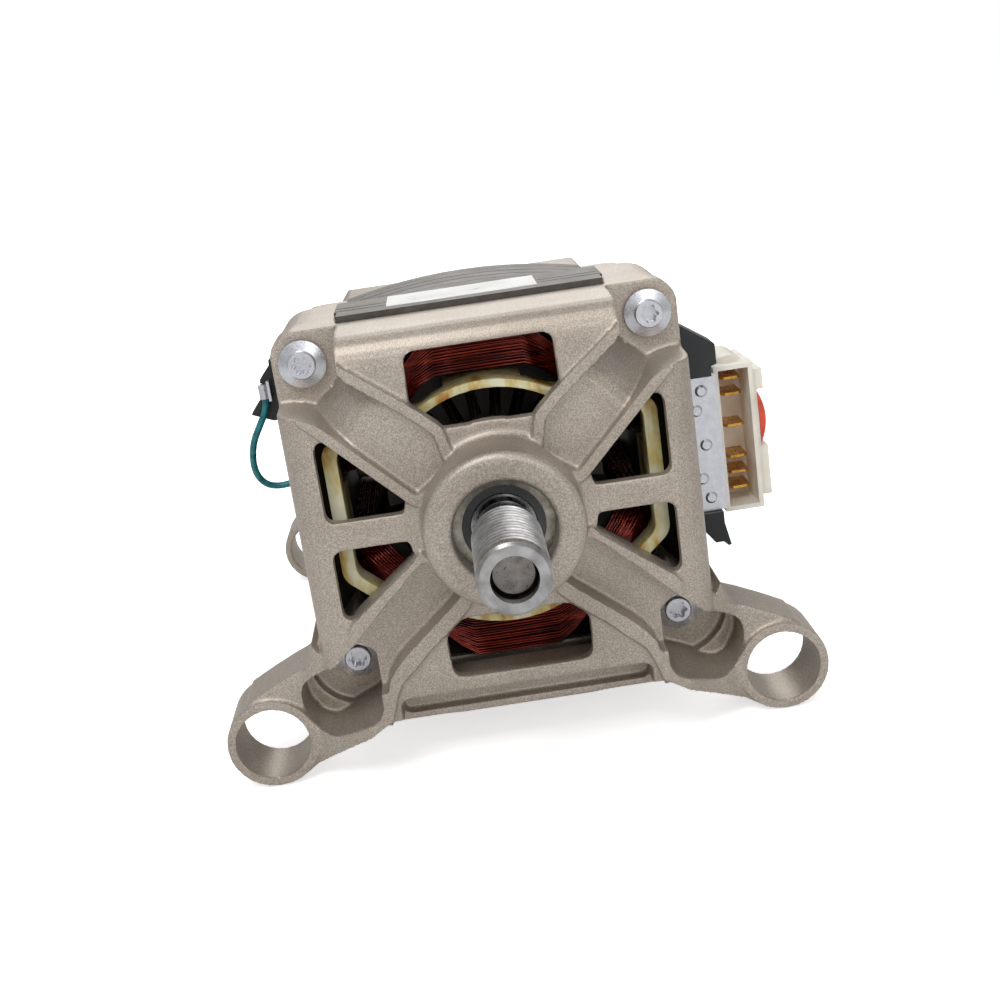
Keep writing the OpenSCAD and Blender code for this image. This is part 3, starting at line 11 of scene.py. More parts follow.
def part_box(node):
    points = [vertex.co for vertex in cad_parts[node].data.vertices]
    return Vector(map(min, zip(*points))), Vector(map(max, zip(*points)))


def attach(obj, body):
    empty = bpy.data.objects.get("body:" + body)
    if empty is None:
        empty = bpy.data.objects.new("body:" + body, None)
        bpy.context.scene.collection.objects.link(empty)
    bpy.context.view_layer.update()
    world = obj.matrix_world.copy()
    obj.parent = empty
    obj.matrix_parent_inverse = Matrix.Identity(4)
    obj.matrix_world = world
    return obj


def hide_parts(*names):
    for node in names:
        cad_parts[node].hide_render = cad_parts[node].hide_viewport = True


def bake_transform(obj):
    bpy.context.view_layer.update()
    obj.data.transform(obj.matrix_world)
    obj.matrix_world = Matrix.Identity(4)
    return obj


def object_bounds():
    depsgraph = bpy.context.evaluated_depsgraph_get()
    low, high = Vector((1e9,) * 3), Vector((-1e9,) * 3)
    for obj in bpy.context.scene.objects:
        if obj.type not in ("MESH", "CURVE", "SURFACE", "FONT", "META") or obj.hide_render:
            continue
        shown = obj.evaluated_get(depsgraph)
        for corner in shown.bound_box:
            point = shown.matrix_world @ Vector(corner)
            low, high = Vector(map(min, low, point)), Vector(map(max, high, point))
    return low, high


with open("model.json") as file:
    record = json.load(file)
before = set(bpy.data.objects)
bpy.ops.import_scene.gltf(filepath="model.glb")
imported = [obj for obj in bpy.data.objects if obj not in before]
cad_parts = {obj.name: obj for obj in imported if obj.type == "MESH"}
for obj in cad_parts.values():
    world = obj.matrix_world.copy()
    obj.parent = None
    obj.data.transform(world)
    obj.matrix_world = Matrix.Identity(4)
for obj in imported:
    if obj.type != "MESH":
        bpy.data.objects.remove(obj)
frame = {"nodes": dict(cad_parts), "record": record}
cad_low, cad_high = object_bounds()

bl_info = {
    "name": "Washing machine motor",
    "version": (1, 0, 0),
    "blender": (4, 5, 0),
    "location": "3D View > Sidebar > Motor",
    "description": "Dresses the solids of a washing machine motor",
    "category": "Object",
}

MM = 0.001
# Places that the solids fix: shaft height, and the depth that the boss's front face has in the frame
SHAFT_Z = 76.9
BOSS_Y = -97.0


def at(x, depth, z):
    """A point given in millimetres from the shaft axis and the boss's front face, in the frame's metres."""
    return Vector((x * MM, (depth + BOSS_Y) * MM, (z + SHAFT_Z) * MM))


def linear(hex_value, alpha=1.0):
    """An sRGB colour written as six hex digits, as linear red, green, blue and alpha."""
    parts = [int(hex_value[i : i + 2], 16) / 255 for i in (1, 3, 5)]
    return tuple(c / 12.92 if c <= 0.04045 else ((c + 0.055) / 1.055) ** 2.4 for c in parts) + (alpha,)


# Settings


class MotorSettings(bpy.types.PropertyGroup):
    """Sizes and colours that a user would change."""

    field_wire: bpy.props.FloatProperty(
        name="Field wire", description="Thickness of the field coils' wire", default=0.00072, unit="LENGTH"
    )
    field_layers: bpy.props.IntProperty(
        name="Field layers", description="Layers of wire in each field coil", default=9, min=1, max=10
    )
    field_loops: bpy.props.IntProperty(
        name="Field loops", description="Loops of wire in each layer", default=15, min=4, max=16
    )
    lead_diameter: bpy.props.FloatProperty(
        name="Earth lead", description="Diameter of the earth lead", default=0.002, unit="LENGTH"
    )
    spring_turns: bpy.props.FloatProperty(
        name="Spring turns", description="Turns in each brush spring", default=7.0, min=3.0, max=12.0
    )
    cast_voxel: bpy.props.FloatProperty(
        name="Casting voxel", description="Cell size of the remeshed castings", default=0.00055, unit="LENGTH"
    )
    cast_colour: bpy.props.FloatVectorProperty(
        name="Casting", description="Colour of the blasted castings", size=4, subtype="COLOR",
        default=linear("#B6ACA1"),
    )
    copper_colour: bpy.props.FloatVectorProperty(
        name="Enamelled copper", description="Colour of the windings", size=4, subtype="COLOR",
        default=linear("#7E1B0F"),
    )
    cream_colour: bpy.props.FloatVectorProperty(
        name="Coil frame", description="Colour of the insulating frames", size=4, subtype="COLOR",
        default=linear("#E6DFB8"),
    )
    lead_colour: bpy.props.FloatVectorProperty(
        name="Lead cover", description="Colour of the earth lead", size=4, subtype="COLOR", default=linear("#0E6E72")
    )


def settings():
    return bpy.context.scene.motor_settings


# Nodes and materials


def add(tree, kind, links=None, values=None, **options):
    """Adds a node, with its options, its socket values and the outputs that feed it."""
    made = tree.nodes.new(kind)
    for name, value in options.items():
        setattr(made, name, value)
    for socket, value in (values or {}).items():
        made.inputs[socket].default_value = value
    for socket, source in (links or {}).items():
        tree.links.new(source, made.inputs[socket])
    return made


class Finish:
    """A material being made: its tree, its shader and the place on the piece that its patterns read."""

    def __init__(self, name, colour, metallic=0.0, roughness=0.5, **sockets):
        self.material = bpy.data.materials.new(name)
        self.material.use_nodes = True
        self.tree = self.material.node_tree
        self.tree.nodes.clear()
        out = add(self.tree, "ShaderNodeOutputMaterial")
        self.shader = add(self.tree, "ShaderNodeBsdfPrincipled")
        self.tree.links.new(self.shader.outputs["BSDF"], out.inputs["Surface"])
        self.place = add(self.tree, "ShaderNodeTexCoord").outputs["Object"]
        self.shader.inputs["Base Color"].default_value = colour
        self.shader.inputs["Metallic"].default_value = metallic
        self.shader.inputs["Roughness"].default_value = roughness
        for socket, value in sockets.items():
            self.shader.inputs[socket.replace("_", " ")].default_value = value

    def grain(self, size_mm, detail=2.0, roughness=0.5, stretch=None):
        """Noise whose cells are about size_mm across. stretch lengthens them along each axis."""
        place = self.place
        if stretch:
            place = add(self.tree, "ShaderNodeMapping", {"Vector": place}, {"Scale": stretch}).outputs[0]
        made = add(
            self.tree, "ShaderNodeTexNoise", {"Vector": place},
            {"Scale": 1 / (size_mm * MM), "Detail": detail, "Roughness": roughness},
        )
        return made.outputs["Fac"]

    def lines(self, pitch_mm, axis, distortion=0.0):
        """Bands along an axis, one for each pitch_mm."""
        made = add(
            self.tree, "ShaderNodeTexWave", {"Vector": self.place},
            {"Scale": 2 * math.pi / (20 * pitch_mm * MM), "Distortion": distortion, "Detail": 2.0},
            wave_type="BANDS", bands_direction=axis, wave_profile="SIN",
        )
        return made.outputs["Fac"]

    def ramp(self, value, stops):
        """Colours or greys at places along a value from 0 to 1."""
        made = add(self.tree, "ShaderNodeValToRGB", {"Fac": value})
        band = made.color_ramp
        while len(band.elements) < len(stops):
            band.elements.new(0.5)
        for element, (place, colour) in zip(band.elements, stops):
            element.position = place
            element.color = colour if len(colour) == 4 else tuple(colour) + (1.0,)
        return made.outputs["Color"]

    def grey(self, value, low, high, start=0.3, end=0.7):
        return add(
            self.tree, "ShaderNodeMapRange", {"Value": value},
            {"From Min": start, "From Max": end, "To Min": low, "To Max": high},
        ).outputs["Result"]

    def mix(self, share, first, second, blend="MIX"):
        made = add(self.tree, "ShaderNodeMix", data_type="RGBA", blend_type=blend)
        for socket, source in ((0, share), (6, first), (7, second)):
            if isinstance(source, bpy.types.NodeSocket):
                self.tree.links.new(source, made.inputs[socket])
            else:
                made.inputs[socket].default_value = source
        return made.outputs[2]

    def feed(self, **sockets):
        for socket, source in sockets.items():
            self.tree.links.new(source, self.shader.inputs[socket.replace("_", " ")])
        return self

    def bump(self, height, depth_mm, strength=1.0, under=None):
        links = {"Height": height}
        if under is not None:
            links["Normal"] = under
        made = add(
            self.tree, "ShaderNodeBump", links, {"Distance": depth_mm * MM, "Strength": strength}
        ).outputs["Normal"]
        self.tree.links.new(made, self.shader.inputs["Normal"])
        return made


def shot_blasted_cast_aluminium():
    """Die-cast aluminium, shot-blasted: a dull warm grey with a fine sparkle, grit marks about 0.4 mm across."""
    base = tuple(settings().cast_colour)
    f = Finish("shot_blasted_cast_aluminium", base, metallic=0.62, roughness=0.52)
    cloud, speck = f.grain(22, 2, 0.5), f.grain(0.4, 3, 0.72)
    shaded = [tuple(min(1.0, c * k) for c in base[:3]) + (1.0,) for k in (0.64, 0.86, 1.04, 1.36)]
    sparkle = f.ramp(speck, [(0.36, shaded[0]), (0.47, shaded[1]), (0.54, shaded[2]), (0.66, shaded[3])])
    colour = f.mix(0.3, sparkle, f.ramp(cloud, [(0.35, linear("#CFC9BE")), (0.65, linear("#FFFFFF"))]), "MULTIPLY")
    f.feed(Base_Color=colour, Roughness=f.grey(speck, 0.36, 0.6))
    f.bump(f.grain(0.45, 3, 0.7), 0.05, 0.7, f.bump(f.grain(5, 2, 0.5), 0.1, 0.3))
    return f.material


def stacked_lamination_steel():
    """Stacked electrical steel sheets: fine dark lines across the core where sheet meets sheet, drawn 1 mm apart
    so that they show, under a grey film of oxide."""
    f = Finish("stacked_lamination_steel", linear("#6F6E6C"), metallic=0.6, roughness=0.5)
    sheets, cloud = f.lines(1.0, "Y", 0.3), f.grain(9, 3, 0.6)
    colour = f.ramp(sheets, [(0.12, linear("#3E3B38")), (0.45, linear("#6E6963")), (0.85, linear("#8E8882"))])
    colour = f.mix(0.5, colour, f.ramp(cloud, [(0.3, linear("#8F8A84")), (0.7, linear("#F0EDE8"))]), "MULTIPLY")
    f.feed(Base_Color=colour, Roughness=f.grey(cloud, 0.4, 0.6))
    f.bump(sheets, 0.12, 0.8)
    return f.material


def enamelled_copper_wire():
    """Copper magnet wire under clear enamel and dipping varnish: deep red, glossy, with lighter and darker turns."""
    base = tuple(settings().copper_colour)
    f = Finish("enamelled_copper_wire", base, metallic=0.85, roughness=0.22, Coat_Weight=0.6, Coat_Roughness=0.12)
    turn = f.grain(1.3, 2, 0.5, (0.06, 1.0, 1.0))
    colour = f.ramp(turn, [(0.3, linear("#3E0A07")), (0.5, base), (0.72, linear("#A5361C"))])
    f.feed(Base_Color=colour, Roughness=f.grey(turn, 0.14, 0.3))
    f.bump(f.grain(3, 2, 0.5), 0.02, 0.3)
    return f.material


def armature_wire_painted_shade():
    """Armature wire, nearly black red with a soft gloss: the near-black is painted shade of the motor's inside."""
    f = Finish("armature_wire_painted_shade", linear("#1E0A08"), metallic=0.3, roughness=0.42, Coat_Weight=0.3)
    turn = f.grain(1.4, 2, 0.6)
    # Painted shade: these near-black reds stand in for the shade inside the motor.
    f.feed(
        Base_Color=f.ramp(turn, [(0.3, linear("#0D0607")), (0.6, linear("#240C0A")), (0.8, linear("#4A1A10"))]),
        Roughness=f.grey(turn, 0.32, 0.55),
    )
    f.bump(f.grain(0.8, 2, 0.5), 0.04, 0.5)
    return f.material


def varnished_glass_filled_nylon():
    """Moulded glass-filled nylon, cream, with amber runs of dipping varnish."""
    base = tuple(settings().cream_colour)
    f = Finish("varnished_glass_filled_nylon", base, roughness=0.42, Subsurface_Weight=0.08, Coat_Weight=0.3)
    runs, fine = f.grain(7, 3, 0.6, (1.0, 1.0, 0.4)), f.grain(0.9, 2, 0.5)
    amber, ivory = [(0.36, linear("#B47A22")), (0.46, linear("#D8C27C"))], [(0.56, base), (0.75, linear("#F4EED2"))]
    colour = f.ramp(runs, amber + ivory)
    f.feed(Base_Color=colour, Roughness=f.grey(fine, 0.32, 0.5))
    f.bump(fine, 0.03, 0.5)
    return f.material


def ground_bearing_steel():
    """Hardened steel, ground and polished: bright, with fine turned rings."""
    f = Finish("ground_bearing_steel", linear("#A9AAAC"), metallic=1.0, roughness=0.22)
    rings, cloud = f.grain(0.35, 2, 0.6, (0.15, 1.0, 0.15)), f.grain(5, 2, 0.5)
    f.feed(
        Base_Color=f.ramp(cloud, [(0.3, linear("#8E8F91")), (0.7, linear("#BDBEC0"))]),
        Roughness=f.grey(rings, 0.14, 0.32),
    )
    f.bump(rings, 0.02, 0.5)
    return f.material


def turned_pulley_steel():
    """Belt pulley: turned steel, bright on the collar and the crests, with painted shade and a painted dark reflection
    down in the grooves.
    """
    f = Finish("turned_pulley_steel", linear("#A3A2A2"), metallic=1.0, roughness=0.28)
    rings, cloud = f.grain(0.4, 2, 0.6, (0.1, 1.0, 0.1)), f.grain(4, 2, 0.5)
    across = add(
        f.tree, "ShaderNodeVectorMath", {0: f.place}, {1: (0, 0, -SHAFT_Z * MM)}, operation="ADD"
    ).outputs["Vector"]
    across = add(f.tree, "ShaderNodeVectorMath", {0: across}, {1: (1, 0, 1)}, operation="MULTIPLY").outputs["Vector"]
    radius = add(f.tree, "ShaderNodeVectorMath", {0: across}, operation="LENGTH").outputs["Value"]
    depth = add(f.tree, "ShaderNodeSeparateXYZ", {0: f.place}).outputs["Y"]
    # Painted shade: below the crests' radius and behind the collar, the grooves take a flat dark colour that stands in
    # for their shade and a dark reflection.
    crest = f.grey(radius, 0, 1, 8.5 * MM, 9.3 * MM)
    ahead = f.grey(depth, 1, 0, (BOSS_Y - 34.6) * MM, (BOSS_Y - 34.2) * MM)
    outside_painted_shade = add(f.tree, "ShaderNodeMath", {0: crest, 1: ahead}, operation="MAXIMUM").outputs[0]
    steel = f.ramp(cloud, [(0.3, linear("#8B8A8A")), (0.7, linear("#B4B3B3"))])
    # The dark colour mixed in here is the grooves' painted shade.
    f.feed(
        Base_Color=f.mix(outside_painted_shade, linear("#4C4845"), steel),
        Roughness=f.grey(rings, 0.2, 0.38),
    )
    f.bump(rings, 0.02, 0.5)
    return f.material


def oiled_shaft_steel():
    """Shaft: turned steel, left dull and brownish, with dark specks of old grease."""
    f = Finish("oiled_shaft_steel", linear("#7D7874"), metallic=1.0, roughness=0.36)
    specks, cloud = f.grain(0.8, 3, 0.7), f.grain(3, 2, 0.5)
    steel = f.ramp(cloud, [(0.3, linear("#6B6662")), (0.7, linear("#8F8A86"))])
    f.feed(
        Base_Color=f.mix(f.grey(specks, 0, 1, 0.62, 0.68), steel, linear("#2B2826")),
        Roughness=f.grey(cloud, 0.3, 0.46),
    )
    f.bump(specks, 0.03, 0.5)
    return f.material


def oiled_bearing_ring():
    """Bearing outer ring: ground steel under a brownish film of oil."""
    f = Finish("oiled_bearing_ring", linear("#8C887B"), metallic=1.0, roughness=0.3)
    rings, cloud = f.grain(0.4, 2, 0.6, (0.2, 1.0, 0.2)), f.grain(3, 3, 0.6)
    f.feed(
        Base_Color=f.ramp(cloud, [(0.3, linear("#77736A")), (0.7, linear("#9C978A"))]),
        Roughness=f.grey(rings, 0.22, 0.42),
    )
    f.bump(rings, 0.02, 0.5)
    return f.material


def bright_zinc_plate():
    """Steel with bright zinc plating: a pale grey, slightly lilac, softly brushed, with hardly any spangle."""
    f = Finish("bright_zinc_plate", linear("#CACBD0"), metallic=0.95, roughness=0.3)
    spangle, brushed = f.grain(2.4, 2, 0.5), f.grain(0.35, 2, 0.5, (1.0, 0.12, 1.0))
    f.feed(
        Base_Color=f.ramp(spangle, [(0.32, linear("#C4C5CC")), (0.68, linear("#D0D1D6"))]),
        Roughness=f.grey(brushed, 0.24, 0.4),
    )
    f.bump(brushed, 0.015, 0.5)
    return f.material


def moulded_black_plastic():
    """Moulded polyamide, black, satin with a fine spark-eroded grain."""
    f = Finish("moulded_black_plastic", linear("#1D2123"), roughness=0.42)
    fine, cloud = f.grain(0.5, 2, 0.6), f.grain(8, 2, 0.5)
    f.feed(
        Base_Color=f.ramp(cloud, [(0.3, linear("#0E1011")), (0.7, linear("#1B1F21"))]),
        Roughness=f.grey(fine, 0.34, 0.55),
    )
    f.bump(fine, 0.04, 0.6)
    return f.material


def grey_seal_rubber():
    """Nitrile rubber of the bearing seals: dark grey, with a soft sheen and moulded rings."""
    f = Finish("grey_seal_rubber", linear("#3C3C3D"), roughness=0.5)
    fine = f.grain(0.6, 2, 0.6)
    f.feed(
        Base_Color=f.ramp(fine, [(0.3, linear("#353536")), (0.7, linear("#4A4A4B"))]),
        Roughness=f.grey(fine, 0.5, 0.72),
    )
    f.bump(fine, 0.03, 0.5)
    return f.material


def off_white_polyamide():
    """Moulded polyamide of the terminal block: warm off-white, slightly waxy."""
    f = Finish("off_white_polyamide", linear("#EDE6DA"), roughness=0.4, Subsurface_Weight=0.1)
    cloud, fine = f.grain(9, 2, 0.5), f.grain(0.8, 2, 0.5)
    f.feed(
        Base_Color=f.ramp(cloud, [(0.3, linear("#DDD4C4")), (0.7, linear("#F3EEE4"))]),
        Roughness=f.grey(fine, 0.3, 0.5),
    )
    f.bump(fine, 0.03, 0.5)
    return f.material


def red_polyamide():
    """Moulded red polyamide of the lock slide, glossy."""
    f = Finish("red_polyamide", linear("#D8452B"), roughness=0.3)
    cloud = f.grain(3, 2, 0.5)
    f.feed(
        Base_Color=f.ramp(cloud, [(0.3, linear("#C23A22")), (0.7, linear("#E2553A"))]),
        Roughness=f.grey(cloud, 0.24, 0.4),
    )
    f.bump(f.grain(0.7, 2, 0.5), 0.02, 0.5)
    return f.material


def blank_label_film():
    """Plain white polyester film of the label place: smooth, with a faint crease or two."""
    f = Finish("blank_label_film", linear("#EEEDEA"), roughness=0.32, Coat_Weight=0.2)
    cloud = f.grain(12, 2, 0.5)
    f.feed(
        Base_Color=f.ramp(cloud, [(0.3, linear("#E2E1DC")), (0.7, linear("#F4F3F0"))]),
        Roughness=f.grey(cloud, 0.26, 0.4),
    )
    f.bump(cloud, 0.05, 0.5)
    return f.material


def worn_commutator_copper():
    """Hard-drawn copper bars, turned and browned by the brushes: fine rings round the barrel."""
    f = Finish("worn_commutator_copper", linear("#B8754A"), metallic=1.0, roughness=0.3)
    rings = f.grain(0.5, 3, 0.6, (0.1, 1.0, 0.1))
    f.feed(
        Base_Color=f.ramp(rings, [(0.3, linear("#6B3E28")), (0.55, linear("#B8754A")), (0.8, linear("#D09A70"))]),
        Roughness=f.grey(rings, 0.22, 0.45),
    )
    f.bump(rings, 0.03, 0.6)
    return f.material


def moulded_phenolic():
    """Moulded phenolic of the commutator's hub: dark brown, mottled."""
    f = Finish("moulded_phenolic", linear("#3A2A1E"), roughness=0.5)
    mottle = f.grain(1.5, 3, 0.6)
    f.feed(
        Base_Color=f.ramp(mottle, [(0.3, linear("#2A1D14")), (0.7, linear("#4B382A"))]),
        Roughness=f.grey(mottle, 0.4, 0.6),
    )
    f.bump(mottle, 0.03, 0.5)
    return f.material


def sintered_ferrite():
    """Sintered ferrite magnet: charcoal grey, fine-grained, slightly pitted."""
    f = Finish("sintered_ferrite", linear("#3E3F42"), metallic=0.2, roughness=0.6)
    pits = f.grain(0.9, 3, 0.65)
    f.feed(
        Base_Color=f.ramp(pits, [(0.3, linear("#2B2C2F")), (0.7, linear("#4E5054"))]),
        Roughness=f.grey(pits, 0.5, 0.7),
    )
    f.bump(pits, 0.05, 0.6)
    return f.material


def bright_brass_strip():
    """Rolled brass strip: yellow-brown, with fine rolling lines and a little tarnish."""
    f = Finish("bright_brass_strip", linear("#C08A34"), metallic=1.0, roughness=0.28)
    rolled, tarnish = f.grain(0.4, 2, 0.5, (1.0, 0.1, 1.0)), f.grain(3, 3, 0.6)
    f.feed(
        Base_Color=f.ramp(tarnish, [(0.3, linear("#A87424")), (0.6, linear("#D2A048")), (0.85, linear("#EBC878"))]),
        Roughness=f.grey(rolled, 0.2, 0.4),
    )
    f.bump(rolled, 0.015, 0.5)
    return f.material


def pressed_brush_carbon():
    """Pressed carbon of the brushes: near black with a soft graphite sheen."""
    f = Finish("pressed_brush_carbon", linear("#2B2B2D"), metallic=0.3, roughness=0.5)
    fine = f.grain(0.5, 3, 0.65)
    f.feed(
        Base_Color=f.ramp(fine, [(0.3, linear("#1D1D1F")), (0.7, linear("#3D3D40"))]),
        Roughness=f.grey(fine, 0.4, 0.62),
    )
    f.bump(fine, 0.04, 0.6)
    return f.material


def patented_spring_wire():
    """Hard-drawn spring wire: bright grey with fine draw lines."""
    f = Finish("patented_spring_wire", linear("#A9ACB2"), metallic=1.0, roughness=0.26)
    drawn = f.grain(0.4, 2, 0.6)
    f.feed(
        Base_Color=f.ramp(drawn, [(0.3, linear("#8A8D93")), (0.7, linear("#C3C6CB"))]),
        Roughness=f.grey(drawn, 0.18, 0.38),
    )
    f.bump(drawn, 0.01, 0.5)
    return f.material


def extruded_lead_cover():
    """Extruded soft plastic cover of the earth lead: dark green-blue, smooth, slightly glossy."""
    base = tuple(settings().lead_colour)
    f = Finish("extruded_lead_cover", base, roughness=0.34)
    cloud = f.grain(2.5, 2, 0.5)
    f.feed(
        Base_Color=f.ramp(cloud, [(0.3, linear("#0A565A")), (0.7, linear("#148087"))]),
        Roughness=f.grey(cloud, 0.26, 0.44),
    )
    f.bump(f.grain(0.6, 2, 0.5), 0.02, 0.5)
    return f.material


FINISHES = {
    "cast_aluminium": shot_blasted_cast_aluminium,
    "lamination_steel": stacked_lamination_steel,
    "copper_enamel": enamelled_copper_wire,
    "cream_plastic": varnished_glass_filled_nylon,
    "bearing_steel": ground_bearing_steel,
    "dark_steel": oiled_bearing_ring,
    "zinc_steel": bright_zinc_plate,
    "seal_rubber": grey_seal_rubber,
    "white_label": blank_label_film,
    "commutator_copper": worn_commutator_copper,
    "phenolic": moulded_phenolic,
    "ferrite": sintered_ferrite,
    "black_plastic": moulded_black_plastic,
    "brass_strip": bright_brass_strip,
    "brush_carbon": pressed_brush_carbon,
    "spring_steel": patented_spring_wire,
    "white_plastic": off_white_polyamide,
    "red_plastic": red_polyamide,
    "teal_cover": extruded_lead_cover,
}


def finish_of(slot):
    made = FINISHES[slot]
    found = bpy.data.materials.get(made.__name__)
    return found or made()


def wear(piece, slot):
    """Gives a piece the finish of a material slot, all over."""
    piece.data.materials.clear()
    piece.data.materials.append(finish_of(slot))


# Handling of pieces


def only(piece):
    """Selects one piece and nothing else."""
    bpy.ops.object.select_all(action="DESELECT")
    piece.select_set(True)
    bpy.context.view_layer.objects.active = piece


def settle(piece, slot, body, *stands_for):
    """Applies a piece's place, gives it its finish, and lets it ride on a body when one is given."""
    only(piece)
    bpy.ops.object.transform_apply(location=True, rotation=True, scale=True)
    wear(piece, slot)
    if body:
        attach(piece, body)
    if stands_for:
        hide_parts(*stands_for)
    return piece


def smooth(piece, degrees):
    only(piece)
    bpy.ops.object.shade_smooth_by_angle(angle=math.radians(degrees))


def copied(node, name):
    """A copy of a CAD node's mesh, merged, as a piece of its own."""
    source = frame["nodes"][node]
    piece = bpy.data.objects.new(name, source.data.copy())
    bpy.context.scene.collection.objects.link(piece)
    only(piece)
    bpy.ops.object.mode_set(mode="EDIT")
    bpy.ops.mesh.select_all(action="SELECT")
    bpy.ops.mesh.remove_doubles(threshold=2e-6)
    bpy.ops.mesh.normals_make_consistent(inside=False)
    bpy.ops.object.mode_set(mode="OBJECT")
    return piece


def modified(piece, kind, **options):
    made = piece.modifiers.new(kind.lower(), kind)
    for name, value in options.items():
        setattr(made, name, value)
    only(piece)
    bpy.ops.object.modifier_apply(modifier=made.name)


def wire_run(name, runs, thickness, sides=2, closed=False):
    """One mesh of round wires, each along its own run of points."""
    curve = bpy.data.curves.new(name, "CURVE")
    curve.dimensions = "3D"
    curve.bevel_depth = thickness / 2
    curve.bevel_resolution = sides
    curve.use_fill_caps = True
    for run in runs:
        spline = curve.splines.new("POLY")
        spline.points.add(len(run) - 1)
        for point, place in zip(spline.points, run):
            point.co = (*place, 1.0)
        spline.use_cyclic_u = closed
    piece = bpy.data.objects.new(name, curve)
    bpy.context.scene.collection.objects.link(piece)
    only(piece)
    bpy.ops.object.convert(target="MESH")
    piece = bpy.context.view_layer.objects.active
    bpy.ops.object.shade_smooth()
    return piece


# The castings: each is one piece of metal, though the solids give it in parts that meet

CAST_TRIANGLES = 185000
CASTINGS = {
    "front_shield_casting": ("front_shield", "front_skirt", "front_legs"),
    "rear_shield_casting": ("rear_shield", "rear_end_plate", "rear_legs"),
}


class MOTOR_OT_castings(bpy.types.Operator):
    """The two end shields with the softened edges that a die leaves"""

    bl_idname = "motor.castings"
    bl_label = "Castings"

    def execute(self, context):
        for name, nodes in CASTINGS.items():
            copies = [copied(node, node + "_copy") for node in nodes]
            only(copies[0])
            for other in copies[1:]:
                other.select_set(True)
            bpy.ops.object.join()
            piece = context.active_object
            piece.name = name
            modified(piece, "REMESH", mode="VOXEL", voxel_size=settings().cast_voxel, adaptivity=0.0)
            modified(piece, "SMOOTH", factor=0.5, iterations=2)
            count = len(piece.data.polygons) * 2
            modified(piece, "DECIMATE", decimate_type="COLLAPSE", ratio=min(1.0, CAST_TRIANGLES / count))
            # What the remesh pushed past the solids' box comes back to it
            for vertex in piece.data.vertices:
                vertex.co = [min(max(c, low), high) for c, low, high in zip(vertex.co, cad_low, cad_high)]
            smooth(piece, 32)
            settle(piece, "cast_aluminium", "motor", *nodes)
        return {"FINISHED"}


# The coil frames: how far their bends and their edges are rounded

FRAME_BEND = 2.4 * MM
FRAME_EDGE = 0.45 * MM


class MOTOR_OT_coil_frames(bpy.types.Operator):
    """The insulating frames with rounded bends and softened edges"""

    bl_idname = "motor.coil_frames"
    bl_label = "Coil frames"

    def execute(self, context):
        for node in ("coil_frame_front", "coil_frame_rear"):
            piece = copied(node, node + "_moulding")
            bpy.ops.object.mode_set(mode="EDIT")
            bpy.ops.mesh.select_all(action="SELECT")
            bpy.ops.mesh.dissolve_limited(angle_limit=math.radians(2))
            bpy.ops.mesh.select_mode(type="EDGE")
            bpy.ops.mesh.select_all(action="DESELECT")
            for edge in bmesh.from_edit_mesh(piece.data).edges:
                edge.select_set(bends_the_frame(edge))
            bmesh.update_edit_mesh(piece.data)
            bpy.ops.mesh.bevel(offset=FRAME_BEND, segments=4, profile=0.5, affect="EDGES", clamp_overlap=True)
            bpy.ops.object.mode_set(mode="OBJECT")
            modified(piece, "BEVEL", width=FRAME_EDGE, segments=2, limit_method="ANGLE", angle_limit=math.radians(50))
            smooth(piece, 40)
            settle(piece, "cream_plastic", "motor", node)
        return {"FINISHED"}


def bends_the_frame(edge):
    """True for an edge that runs along the shaft where the frame turns from its upright to its slanted side."""
    if len(edge.link_faces) != 2:
        return False
    along = edge.verts[1].co - edge.verts[0].co
    side = abs(edge.verts[0].co.x) > 0.03 and abs(edge.verts[1].co.x) > 0.03
    return side and abs(along.y) > 0.9 * along.length and math.radians(25) < edge.calc_face_angle() < math.radians(65)


# The windings


def slid(value, low, high):
    """A smooth step from 0 to 1 between low and high."""
    t = min(1.0, max(0.0, (value - low) / (high - low)))
    return t * t * (3 - 2 * t)


# A field coil in millimetres: half width, front and back ends, radius of its turns in plan, then its
# underside's height along the sides and at the ends
FIELD_HALF_W, FIELD_FRONT, FIELD_BACK, FIELD_TURN = 44.7, 38.0, 127.0, 12.0
FIELD_LOW, FIELD_HIGH = 9.6, 36.7
# How tall the winding is, from one layer of wire to the next, the first layer's inset, and how far a wire wanders
FIELD_TALL, FIELD_STEP, FIELD_SKIN, FIELD_SHAKE = 12.6, 0.88, 0.1, 0.34

# The armature in millimetres: slots, slots that a bundle spans, strands in a bundle, and at each end the face of
# the core with the reach of the winding past it
ARMATURE_SLOTS, ARMATURE_SPAN, ARMATURE_STRANDS = 24, 9, 5
ARMATURE_ENDS = ((50.0, -11.0), (115.0, 13.0))
# Radius of the bundles at the slots, how far they dip towards the shaft, and their wire
ARMATURE_R, ARMATURE_DIP, ARMATURE_WIRE = 27.4, 11.2, 1.25
# The wires that lie in the slots: the innermost one's radius, the step outward, and where they start and end
SLOT_R, SLOT_STEP, SLOT_RUN = 23.2, 1.55, (48.5, 116.5)


